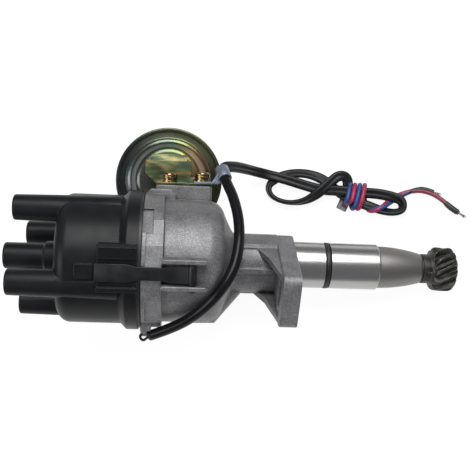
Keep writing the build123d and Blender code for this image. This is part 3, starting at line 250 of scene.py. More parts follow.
@dataclass(frozen=True)
class Finish:
    """A surface with a mottled colour, mottled gloss and a fine relief."""

    name: str
    light: str
    dark: str
    metallic: float
    roughness: float
    patch_mm: float
    grain_mm: float
    relief: float
    coat: float = 0.0
    # Colour of the edges: wear, and a painted highlight where edges catch the light
    edge: Optional[str] = None
    # Share of painted shade in crevices
    crevice_shade: float = 0.0
    edge_mm: float = 0.35
    specular: float = 0.5

    def build(self) -> bpy.types.Material:
        """Make the material.

        Returns:
            The finished material.
        """
        material = bpy.data.materials.new(self.name)
        work = Surface(material, self.patch_mm, self.grain_mm)
        work.feed(work.shader, {"Metallic": self.metallic, "Roughness": self.roughness,
                                "Specular IOR Level": self.specular})
        if self.coat:
            work.feed(work.shader, {"Coat Weight": self.coat, "Coat Roughness": 0.12})
        self.paint(work)
        return material

    def paint(self, work: Surface) -> None:
        """Link colour, gloss and relief.

        Args:
            work: the material in the making.
        """
        self.colour(work, work.ramp(work.patches, ((0.32, self.dark), (0.68, self.light))))
        self.gloss(work)
        self.relieve(work, work.grain, 0.12)

    def rounded(self, work: Surface) -> Socket:
        """Give the surface's direction as if its edges were rounded."""
        return work.add("Bevel", {"Radius": self.edge_mm * MM, "samples": 4}).outputs[0]

    def colour(self, work: Surface, base: Socket) -> None:
        """Lay lighter edges of wear and painted highlight, and painted shade in crevices, over a
        colour, and link it.

        Args:
            work: the material in the making.
            base: the colour before.
        """
        # Lighter edges: wear, and a painted highlight where the rounded edge would catch the light
        if self.edge:
            plain = work.add("NewGeometry").outputs["Normal"]
            match = work.add("VectorMath", {"operation": "DOT_PRODUCT",
                                            0: self.rounded(work), 1: plain})
            wear_and_highlight = work.remap(match.outputs["Value"], EDGE_TURN, (0.0, EDGE_WEAR_AND_HIGHLIGHT))
            base = work.mixed(wear_and_highlight, base, self.edge)
        # Painted shade: ambient occlusion darkens the colour in crevices
        if self.crevice_shade:
            shade = work.add("AmbientOcclusion", {"Distance": PAINTED_SHADE_REACH * MM, "samples": 6})
            painted_shade = work.remap(shade.outputs["AO"], (0.25, 0.8), (1 - self.crevice_shade, 1.0))
            base = work.mixed(1.0, base, painted_shade, "MULTIPLY")
        work.feed(work.shader, {"Base Color": base})

    def relieve(self, work: Surface, height: Socket, depth_mm: float) -> None:
        """Give the surface a fine relief, over softened edges where the finish lays lighter edges of
        wear and painted highlight.

        Args:
            work: the material in the making.
            height: the relief's height.
            depth_mm: the relief's full depth.
        """
        bump = work.add("Bump", {"Strength": self.relief, "Distance": depth_mm * MM,
                                 "Height": height})
        if self.edge:
            work.feed(bump, {"Normal": self.rounded(work)})
        work.feed(work.shader, {"Normal": bump.outputs["Normal"]})

    def gloss(self, work: Surface) -> None:
        """Let the roughness vary a little with the broad noise."""
        spread = work.remap(work.patches, (0.3, 0.7), (self.roughness * 0.85, self.roughness * 1.15))
        work.feed(work.shader, {"Roughness": spread})


@dataclass(frozen=True)
class HousingAlloy(Finish):
    """Sand-cast aluminium whose pilot and nose are turned on a lathe."""

    turned_from: float = 0.05
    pilot_end: float = 53.2
    turned_roughness: float = 0.27
    nose_dullness: float = 0.2
    ring_pitch: float = 1.9
    turned_light: str = "#b2b2b1"
    turned_dark: str = "#9a9a99"
    nose: str = "#868481"

    def paint(self, work: Surface) -> None:
        """Grainy cast surface to the flange, fine turning on the pilot, duller on the nose.

        Args:
            work: the material in the making.
        """
        axis = work.add("SeparateXYZ", {0: work.place}).outputs["X"]
        machined = work.calc("GREATER_THAN", axis, self.turned_from * MM)
        beyond = work.calc("GREATER_THAN", axis, self.pilot_end * MM)
        cast = work.ramp(work.patches, ((0.25, self.dark), (0.75, self.light)))
        speckle = work.ramp(work.grain, ((0.34, "#565658"), (0.5, "#8a8a8b"), (0.64, "#d0d0d1")))
        rings = work.add("TexWave", {
            "wave_type": "BANDS", "bands_direction": "X", "Vector": work.place,
            "Scale": 1.0 / (self.ring_pitch * MM), "Distortion": 2.0, "Detail": 2.0,
            "Detail Scale": 0.4}).outputs["Fac"]
        turned = work.ramp(rings, ((0.0, self.turned_dark), (0.8, self.turned_light)))
        self.colour(work, work.mixed(machined, work.mixed(0.5, cast, speckle, "OVERLAY"),
                                     work.mixed(beyond, turned, self.nose)))
        rough = work.remap(machined, (0.0, 1.0), (self.roughness, self.turned_roughness))
        work.feed(work.shader, {
            "Roughness": work.calc("MULTIPLY_ADD", beyond, self.nose_dullness, rough),
            "Metallic": work.remap(machined, (0.0, 1.0), (self.metallic, 1.0))})
        quiet = work.remap(rings, (0.0, 1.0), (0.45, 0.53))
        height = work.add("Mix", {"data_type": "FLOAT", 0: machined, 2: work.grain, 3: quiet})
        self.relieve(work, height.outputs[0], 0.25)


@dataclass(frozen=True)
class WireSkin(Finish):
    """Vinyl insulation, in another shade from where the tail begins."""

    tail: str = "#16191b"
    tail_from: float = 79.0

    def colour(self, work: Surface, base: Socket) -> None:
        """Change the shade along the shaft's direction, over a few millimetres.

        Args:
            work: the material in the making.
            base: the colour before.
        """
        along = work.add("SeparateXYZ", {0: work.place}).outputs["X"]
        share = work.remap(along, ((self.tail_from - 2) * MM, (self.tail_from + 3) * MM))
        work.feed(work.shader, {"Base Color": work.mixed(share, base, self.tail)})


@dataclass(frozen=True)
class SheathSkin(Finish):
    """Black vinyl that is scuffed to grey near its cut end."""

    end: Point = LEAD_END
    reach: float = 6.5
    scuffed: str = "#5d6063"

    def colour(self, work: Surface, base: Socket) -> None:
        """Turn the shade to grey over the last millimetres.

        Args:
            work: the material in the making.
            base: the colour before.
        """
        away = work.add("VectorMath", {"operation": "DISTANCE", 0: work.place,
                                       1: tuple(value * MM for value in self.end)})
        share = work.remap(away.outputs["Value"], (self.reach * MM, 0.6 * self.reach * MM))
        work.feed(work.shader, {"Base Color": work.mixed(share, base, self.scuffed)})


@dataclass(frozen=True)
class SwirledZinc(Finish):
    """Thin chromate on bent sheet, in patches of olive, teal, straw and brown."""

    def paint(self, work: Surface) -> None:
        """Patches that run along the sheet, wider than they are high.

        Args:
            work: the material in the making.
        """
        spread = work.add("Mapping", {0: work.place, 3: (0.45, 1.25, 1.0)}).outputs[0]
        swirl = work.noise(spread, self.patch_mm, 1.5, distortion=0.5)
        self.colour(work, work.ramp(swirl, (
            (0.30, "#2c352f"), (0.41, self.dark), (0.50, "#434b33"),
            (0.57, self.light), (0.64, "#7c6d48"), (0.72, "#674c3e"))))
        self.gloss(work)
        self.relieve(work, work.grain, 0.1)


@dataclass(frozen=True)
class YellowZinc(Finish):
    """Yellow-chromated zinc, whose thin film turns from teal to olive and rose round the can."""

    # Middle colour of the flange's painted shade
    flat: str = "#585c46"
    from_radius: float = 27.9
    half_width: float = 36.0

    def paint(self, work: Surface) -> None:
        """Colours that change round the can and with a slow swirl, with painted shade that darkens
        the rim's flat flange.

        Args:
            work: the material in the making.
        """
        arm = work.add("VectorMath", {"operation": "SUBTRACT", 0: work.place,
                                      1: (CAN_X * MM, CAN_Y * MM, 0.0)}).outputs[0]
        parts = work.add("SeparateXYZ", {0: arm}).outputs
        across = work.remap(parts["X"], (-self.half_width * MM, self.half_width * MM))
        flat_arm = work.add("CombineXYZ", {0: parts["X"], 1: parts["Y"]}).outputs[0]
        radius = work.add("VectorMath", {"operation": "LENGTH", 0: flat_arm}).outputs["Value"]
        swirl = work.noise(work.place, self.patch_mm, 2.0, distortion=0.8)
        way = work.calc("ADD", across, work.remap(swirl, (0.0, 1.0), (-0.2, 0.2)))
        bright = work.ramp(way, (
            (0.05, "#5a5e5f"), (0.28, "#575a55"), (0.42, "#4d594c"), (0.54, "#5f6744"),
            (0.66, self.light), (0.80, "#7c6551"), (1.0, "#55573f")))
        # Painted shade: darker copies of the film colours for the flat flange
        flange_shade = work.ramp(way, (
            (0.05, "#383e3f"), (0.35, "#4a4e43"), (0.6, self.flat), (0.85, "#525640"),
            (1.0, "#474b39")))
        # Where the painted shade of the flange begins
        ring = work.remap(radius, ((self.from_radius - 0.3) * MM, (self.from_radius + 0.3) * MM))
        self.colour(work, work.mixed(ring, bright, flange_shade))
        self.gloss(work)
        self.relieve(work, work.grain, 0.1)


FINISHES = {
    # Sand-cast aluminium: mid grey, grainy, with painted shade in the corners, edges worn and
    # painted lighter as a highlight, broad soft highlights
    "cast_alloy": HousingAlloy("cast_aluminium", "#808081", "#646465", 0.5, 0.46, 9, 0.8, 0.65,
                               edge="#9c9c9e", crevice_shade=0.65, edge_mm=0.4),
    # Moulded phenolic: near black, satin skin with a slight orange peel, and a painted highlight on
    # its edges
    "cap_plastic": Finish("moulded_phenolic", "#131416", "#0e0f10", 0.0, 0.38, 14, 1.6, 0.1,
                          edge="#4c4e52", specular=0.14),
    "black_rubber": Finish("nitrile_rubber", "#161617", "#0e0e0f", 0.0, 0.5, 8, 0.5, 0.2),
    "grey_rubber": Finish("grommet_rubber", "#77777a", "#5c5c60", 0.0, 0.6, 6, 0.5, 0.25),
    "terminal_alloy": Finish("turned_aluminium", "#c4c4c6", "#a6a6a8", 1.0, 0.35, 5, 0.4, 0.1),
    "carbon": Finish("pressed_carbon", "#2a2a2b", "#1b1b1c", 0.0, 0.6, 2, 0.3, 0.3),
    "spring_steel": Finish("drawn_spring_wire", "#a8a8aa", "#838386", 1.0, 0.3, 4, 0.3, 0.08),
    # Moulded rotor plastic: very dark brown
    "rotor_plastic": Finish("moulded_rotor", "#3a2a22", "#2a1e19", 0.0, 0.4, 8, 0.8, 0.12),
    "brass": Finish("rolled_brass", "#c9a15a", "#a98042", 1.0, 0.3, 6, 0.4, 0.08),
    # Turned steel with a film of oil
    "machined_steel": Finish("turned_steel", "#a5a5a8", "#858589", 1.0, 0.3, 7, 0.5, 0.1),
    # Hobbed steel gear: dark, oiled, worn bright on the edges of its teeth with a painted highlight
    # there too, and painted shade in its crevices
    "gear_steel": Finish("hobbed_steel", "#4c4b49", "#302f2d", 0.9, 0.45, 4, 0.7, 0.25,
                         edge="#8d8c89", crevice_shade=0.6, edge_mm=0.3),
    # Sintered bronze, soaked with oil: dark brown, dull
    "bronze": Finish("sintered_bronze", "#6e5a46", "#4e4032", 1.0, 0.5, 3, 0.4, 0.25),
    "zinc_steel": Finish("zinc_plate", "#c2c5c8", "#9da1a6", 1.0, 0.32, 9, 0.6, 0.08),
    # Golden chromated screws, with painted shade in their creases and a painted highlight on their
    # edges
    "gold_zinc": Finish("golden_zinc", "#a99067", "#4e3b27", 1.0, 0.2, 1.8, 0.5, 0.1,
                        edge="#f0ddb4", crevice_shade=0.85, edge_mm=0.2),
    # Chromated can: film colours, with painted shade on the flat flange and a painted highlight on
    # its edges
    "yellow_zinc": YellowZinc("chromated_can", "#948158", "#6a7348", 1.0, 0.27, 20, 0.9, 0.05,
                              edge="#d0c8a4"),
    # Bracket: olive and teal chromate, pale on its edges as a painted highlight
    "bracket_zinc": SwirledZinc("chromated_bracket", "#5a5c42", "#343f35", 1.0, 0.4, 6.5, 0.7, 0.08,
                                edge="#b9b48c"),
    # Blue zinc clamp, with a painted highlight on its edges
    "clamp_zinc": Finish("blue_zinc", "#7d8392", "#696f7d", 0.6, 0.4, 6, 0.6, 0.05,
                         edge="#c6cad4", edge_mm=0.3),
    "pickup_plastic": Finish("moulded_pickup", "#242426", "#18181a", 0.0, 0.45, 6, 0.6, 0.12),
    # Blackened spring steel: near black, worn a little brighter along its edges, partly a painted
    # highlight
    "dark_spring": Finish("blackened_spring", "#1b1c1e", "#101112", 0.2, 0.42, 7, 0.7, 0.1,
                          edge="#4a4c50", edge_mm=0.3, specular=0.3),
    # Sleeve: smooth vinyl that takes a bright line of light
    "sleeve_plastic": Finish("vinyl_sleeve", "#101013", "#0a0a0c", 0.0, 0.4, 16, 1.2, 0.03,
                             coat=0.2, specular=0.06),
    # Lead sheath: satin vinyl, dusty grey at its cut end
    "lead_plastic": SheathSkin("vinyl_sheath", "#1a1b1d", "#101012", 0.0, 0.38, 12, 1.0, 0.08,
                               specular=0.2),
    # Blue and red insulation
    "wire_blue": WireSkin("blue_insulation", "#27487e", "#1a3058", 0.0, 0.36, 6, 0.8, 0.08,
                          specular=0.35),
    "wire_red": WireSkin("red_insulation", "#98294c", "#6c1c37", 0.0, 0.36, 6, 0.8, 0.08,
                         specular=0.35, tail="#6b2836"),
    # Tinned strands, brownish
    "bare_copper": Finish("tinned_copper", "#8c8480", "#5c504a", 1.0, 0.35, 2, 0.3, 0.2),
}


class FinishShelf:
    """Builds each finish once and lays it on meshes."""

    def __init__(self) -> None:
        """Start with an empty shelf."""
        self.made: dict[str, bpy.types.Material] = {}

    def material(self, slot: str) -> bpy.types.Material:
        """Give the material of a slot, made on first use.

        Args:
            slot: the finish's name.

        Returns:
            The material.
        """
        if slot not in self.made:
            self.made[slot] = FINISHES[slot].build()
        return self.made[slot]

    def dress(self, piece: Piece, slot: str) -> None:
        """Lay the finish of a slot on a whole piece."""
        piece.data.materials.clear()
        piece.data.materials.append(self.material(slot))


def linked(name: str, data: bpy.types.ID) -> Piece:
    """Make an object at the origin and put it in the scene.

    Args:
        name: the object's name.
        data: its curve, mesh, camera or light.

    Returns:
        The object.
    """
    piece = bpy.data.objects.new(name, data)
    bpy.context.scene.collection.objects.link(piece)
    return piece


def spline_curve(name: str, points: Sequence[Point], radius_mm: float,
                 tilts: Optional[Sequence[float]] = None,
                 ends: Ends = Ends.CLOSED) -> Piece:
    """Make a smooth curve object from a route's points.

    Args:
        name: the object's name.
        points: control points in millimetres.
        radius_mm: radius of a round section, or 0 for a bare line.
        tilts: turn of the section at each point, in radians.
        ends: whether the ends are capped.

    Returns:
        The curve object, at the origin.
    """
    data = bpy.data.curves.new(name, "CURVE")
    data.dimensions = "3D"
    data.twist_mode = "Z_UP"
    data.resolution_u = 12
    spline = data.splines.new("NURBS")
    spline.points.add(len(points) - 1)
    for index, (control, point) in enumerate(zip(spline.points, points)):
        control.co = (point[0] * MM, point[1] * MM, point[2] * MM, 1.0)
        if tilts:
            control.tilt = tilts[index]
    spline.order_u = 3
    spline.use_endpoint_u = True
    data.bevel_depth = radius_mm * MM
    data.bevel_resolution = 6
    data.use_fill_caps = ends is Ends.CLOSED
    return linked(name, data)


def curve_mesh(curve: Piece) -> bpy.types.Mesh:
    """Turn a curve object into a mesh, and remove the curve object.

    Args:
        curve: the curve object.

    Returns:
        The mesh.
    """
    bpy.context.view_layer.update()
    graph = bpy.context.evaluated_depsgraph_get()
    mesh = bpy.data.meshes.new_from_object(curve.evaluated_get(graph))
    bpy.data.objects.remove(curve)
    return mesh


def line_points(points: Sequence[Point]) -> list[Vector]:
    """Read the points of a route's smooth line.

    Args:
        points: control points in millimetres.

    Returns:
        Points along the spline, in metres.
    """
    mesh = curve_mesh(spline_curve("route_line", points, 0.0, ends=Ends.OPEN))
    line = [vertex.co.copy() for vertex in mesh.vertices]
    bpy.data.meshes.remove(mesh)
    return line


def mesh_object(name: str, work: bmesh.types.BMesh, smooth_angle: float = SHARP_ANGLE) -> Piece:
    """Finish a bmesh as an object at the origin, with smooth faces and sharp corners.

    Args:
        name: the object's name.
        work: the bmesh, which is freed.
        smooth_angle: edges sharper than this stay crisp, in degrees.

    Returns:
        The mesh object.
    """
    bmesh.ops.remove_doubles(work, verts=work.verts, dist=MERGE * MM)
    bmesh.ops.recalc_face_normals(work, faces=work.faces)
    data = bpy.data.meshes.new(name)
    work.to_mesh(data)
    work.free()
    data.shade_smooth()
    data.set_sharp_from_angle(angle=math.radians(smooth_angle))
    return linked(name, data)


def swept_object(name: str, curve: Piece, smooth_angle: float = SHARP_ANGLE) -> Piece:
    """Turn a curve object into a finished mesh object.

    Args:
        name: the new object's name.
        curve: the curve object, which is removed.
        smooth_angle: edges sharper than this stay crisp, in degrees.

    Returns:
        The mesh object.
    """
    data = curve_mesh(curve)
    work = bmesh.new()
    work.from_mesh(data)
    bpy.data.meshes.remove(data)
    return mesh_object(name, work, smooth_angle)


def flat_tube(name: str, points: Sequence[Point], tilts: Sequence[float], width_mm: float,
              thick_mm: float) -> Piece:
    """Sweep a rounded flat section along a route.

    Args:
        name: the object's name.
        points: control points in millimetres.
        tilts: turn of the section at each point, in radians.
        width_mm: width of the section.
        thick_mm: thickness of the section.

    Returns:
        A mesh object with closed ends.
    """
    section_data = bpy.data.curves.new(name + "_section", "CURVE")
    section_data.dimensions = "2D"
    outline = section_data.splines.new("NURBS")
    half_w, half_t = width_mm / 2 * MM, thick_mm / 2 * MM
    corners = [(0, 0.72), (0.32, 1.04), (0.74, 1.02), (1, 0.4), (1, -0.4), (0.74, -1.02),
               (0.32, -1.04), (0, -0.72), (-0.32, -1.04), (-0.74, -1.02), (-1, -0.4), (-1, 0.4),
               (-0.74, 1.02), (-0.32, 1.04)]
    outline.points.add(len(corners) - 1)
    for control, (x, y) in zip(outline.points, corners):
        control.co = (x * half_w, y * half_t, 0, 1)
    outline.use_cyclic_u = True
    outline.order_u = 3
    outline.resolution_u = 2
    section = linked(name + "_section", section_data)
    sweep = spline_curve(name + "_sweep", points, 0.0, tilts)
    sweep.data.bevel_mode = "OBJECT"
    sweep.data.bevel_object = section
    piece = swept_object(name, sweep, 50.0)
    bpy.data.objects.remove(section)
    return piece


def tube_along(name: str, line: Sequence[Vector], radii_mm: Sequence[float],
               sides: int = 12) -> Piece:
    """Bridge rings along a line into a tube with closed ends.

    Args:
        name: the object's name.
        line: points in metres.
        radii_mm: the tube's radius at each point.
        sides: corners of each ring.

    Returns:
        The mesh object.
    """
    work = bmesh.new()
    rings: list[list[bmesh.types.BMEdge]] = []
    for index, (spot, radius) in enumerate(zip(line, radii_mm)):
        ahead = line[min(index + 1, len(line) - 1)] - line[max(index - 1, 0)]
        if ahead.length < 1e-6:
            continue
        turn = ahead.to_track_quat("Z", "Y").to_matrix().to_4x4()
        ring = bmesh.ops.create_circle(work, cap_ends=False, segments=sides, radius=radius * MM,
                                       matrix=Matrix.Translation(spot) @ turn)
        edges = [edge for vert in ring["verts"] for edge in vert.link_edges]
        rings.append(list(dict.fromkeys(edges)))
    for low, high in zip(rings, rings[1:]):
        bmesh.ops.bridge_loops(work, edges=low + high)
    for end in (rings[0], rings[-1]):
        bmesh.ops.holes_fill(work, edges=end, sides=sides)
    return mesh_object(name, work, 50.0)


def ring_edges(work: bmesh.types.BMesh, origin: Vector, along: Vector, radius: float,
               height: float) -> list[bmesh.types.BMEdge]:
    """Find the edges of one ring of a turned form.

    Args:
        work: the turned form.
        origin: a point on its axis, in metres.
        along: direction of the axis.
        radius: the ring's radius, in millimetres.
        height: the ring's height along the axis, in millimetres.

    Returns:
        The ring's edges.
    """
    near = set()
    for vert in work.verts:
        arm = vert.co - origin
        up = arm.dot(along)
        off = max(abs(up - height * MM), abs((arm - along * up).length - radius * MM))
        if off < RING_REACH * MM:
            near.add(vert)
    return [edge for edge in work.edges if near.issuperset(edge.verts)]


def spun(name: str, profile: Sequence[tuple[float, float, float]], centre: Point, axis: Point,
         steps: int = 128) -> Piece:
    """Spin a closed profile about an axis and round its ring edges.

    Args:
        name: the object's name.
        profile: radius, height along the axis and corner radius, in millimetres.
        centre: a point on the axis, in millimetres.
        axis: direction of the axis.
        steps: sides of the turned form.

    Returns:
        The mesh object.
    """
    work = bmesh.new()
    along = Vector(axis)
    out = Vector((0, 1, 0)) if abs(along.x) > 0.5 else Vector((1, 0, 0))
    origin = Vector(centre) * MM
    corners = [work.verts.new(origin + (out * radius + along * height) * MM)
               for radius, height, _ in profile]
    loop = [work.edges.new((a, b)) for a, b in zip(corners, corners[1:] + corners[:1])]
    bmesh.ops.spin(work, geom=corners + loop, cent=origin, axis=along, angle=math.tau, steps=steps,
                   use_merge=True, use_duplicate=False)
    bmesh.ops.remove_doubles(work, verts=work.verts, dist=MERGE * MM)
    for radius, height, corner in profile:
        if corner:
            ring = ring_edges(work, origin, along, radius, height)
            bmesh.ops.bevel(work, geom=ring, offset=corner * MM, segments=4, profile=0.5,
                            affect="EDGES", material=-1, clamp_overlap=True)
    return mesh_object(name, work, 40.0)


def soft_copy(name: str, node: Piece, width_mm: float) -> Piece:
    """Copy a node's mesh and round its edges, as bent or moulded pieces have them.

    Args:
        name: the new object's name.
        node: the node that the copy is taken from.
        width_mm: width of the rounding, or 0 for none.

    Returns:
        The mesh object.
    """
    work = bmesh.new()
    work.from_mesh(node.data)
    work.transform(node.matrix_world)
    bmesh.ops.remove_doubles(work, verts=work.verts, dist=COPY_MERGE * MM)
    if width_mm:
        bmesh.ops.dissolve_limit(work, angle_limit=math.radians(0.5), verts=work.verts,
                                 edges=work.edges)
        turn = math.radians(SHARP_ANGLE)
        sharp = [edge for edge in work.edges
                 if len(edge.link_faces) == 2 and edge.calc_face_angle(0.0) > turn]
        bmesh.ops.bevel(work, geom=sharp, offset=width_mm * MM, segments=2, profile=0.5,
                        affect="EDGES", material=-1, clamp_overlap=True)
    return mesh_object(name, work, 40.0)


@dataclass
class VacuumCan:
    """The pressed can: a stepped front shell, and a rear shell that is crimped round it."""

    sheet: float = 1.0
    face_r: float = 20.4
    face_z: float = -24.5
    hole_r: float = 3.1
    root_r: float = 24.4
    step_r: float = 27.6
    step_z: float = -33.4
    flange_z: float = -39.9
    rim_r: float = 34.7
    rim_z: float = -38.9
    back_z: float = -55.0

    def build(self, shelf: FinishShelf) -> None:
        """Spin both shells in place of the plain ones.

        Args:
            shelf: the finishes.
        """
        t = self.sheet
        centre = (CAN_X, CAN_Y, 0.0)
        inner_rim = self.rim_r - t - 0.05
        front = spun("can_front_shell", (
            (self.hole_r, self.face_z, 0.2), (self.face_r, self.face_z, 2.6),
            (self.root_r, self.step_z + 0.6, 1.6), (self.step_r, self.step_z, 1.9),
            (self.step_r, self.flange_z, 0.8), (inner_rim, self.flange_z, 0.0),
            (inner_rim, self.flange_z - t, 0.0), (self.step_r - t, self.flange_z - t, 1.2),
            (self.step_r - t, self.step_z - t, 1.0), (self.root_r - t, self.step_z - t + 0.4, 1.6),
            (self.face_r - t, self.face_z - t, 1.7), (self.hole_r, self.face_z - t, 0.2)),
            centre, (0, 0, 1))
        shelf.dress(front, "yellow_zinc")
        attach(front, "fixed")
        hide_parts("can_front")
        back_flange = self.flange_z - t - 1.3
        rear = spun("can_rear_shell", (
            (2.55, self.back_z + t, 0.0), (17.0, self.back_z + t, 0.6),
            (20.8, self.back_z + 2.2, 0.8), (self.step_r - t, back_flange - 5.0, 0.3),
            (self.step_r - t, back_flange, 0.3),
            (self.rim_r - t, back_flange, 0.0), (self.rim_r - t, self.rim_z - t + 0.02, 0.0),
            (self.rim_r - 2.6, self.rim_z - t + 0.02, 0.0), (self.rim_r - 2.6, self.rim_z, 0.3),
            (self.rim_r, self.rim_z, 0.75), (self.rim_r, back_flange - t, 0.4),
            (self.step_r, back_flange - t, 0.9), (self.step_r, back_flange - 5.5, 1.4),
            (21.4, self.back_z + 1.3, 1.6), (17.5, self.back_z, 0.8),
            (2.55, self.back_z, 0.0)), centre, (0, 0, 1))
        shelf.dress(rear, "yellow_zinc")
        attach(rear, "fixed")
        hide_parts("can_rear")
        log.info("vacuum can built")


@dataclass
class CanSpring:
    """The coil behind the diaphragm, which shortens as the rod comes back."""

    seat: Point = (CAN_X, CAN_Y, -54.0)
    keep: float = 0.59

    def build(self, frame: dict, shelf: FinishShelf) -> None:
        """Copy the coil and give the copy its own mesh.

        Args:
            frame: what the loader returned.
            shelf: the finishes.
        """
        coil = soft_copy("can_coil", frame["nodes"]["can_spring"], 0.0)
        shelf.dress(coil, "spring_steel")
        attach(coil, "fixed")
        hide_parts("can_spring")
        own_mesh(coil)
        log.info("can spring built")


@dataclass
class SoftenedPieces:
    """Pressed and bent pieces whose edges are rounded as the press leaves them."""

    widths: tuple[tuple[str, str, float], ...] = (
        ("vacuum_bracket", "fixed", 0.35),
        ("lead_clamp", "fixed", 0.3),
        ("clip_front", "front_clip", 0.2),
        ("clip_rear", "rear_clip", 0.2),
    )

    def build(self, frame: dict, shelf: FinishShelf) -> None:
        """Replace each plain piece by its softened copy.

        Args:
            frame: what the loader returned.
            shelf: the finishes.
        """
        rows = {row["node"]: row for row in frame["record"]["subparts"]}
        for node, body, width in self.widths:
            piece = soft_copy(node + "_soft", frame["nodes"][node], width)
            slot = rows[node]["material_slot"]
            shelf.dress(piece, slot)
            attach(piece, body)
            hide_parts(node)
            log.info("%s softened", node)


@dataclass
class ScrewRibs:
    """Rolled ribs round the two golden screw heads, which catch the light in rows."""

    axis_z: float = -5.7
    radius: float = 4.4
    rows: tuple[tuple[float, float], ...] = ((-76.0, 50.45), (-76.0, 51.75), (-56.0, 51.55),
                                             (-56.0, 52.85))

    def build(self, shelf: FinishShelf) -> None:
        """Spin each rib as a small rounded ring.

        Args:
            shelf: the finishes.
        """
        for index, (x, y) in enumerate(self.rows):
            rib = spun("screw_rib_%d" % index, (
                (self.radius - 0.3, y - 0.45, 0.0), (self.radius + 0.35, y - 0.45, 0.3),
                (self.radius + 0.35, y + 0.45, 0.3), (self.radius - 0.3, y + 0.45, 0.0)),
                (x, 0.0, self.axis_z), (0, 1, 0), 36)
            shelf.dress(rib, "gold_zinc")
            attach(rib, "fixed")
        log.info("screw ribs built")


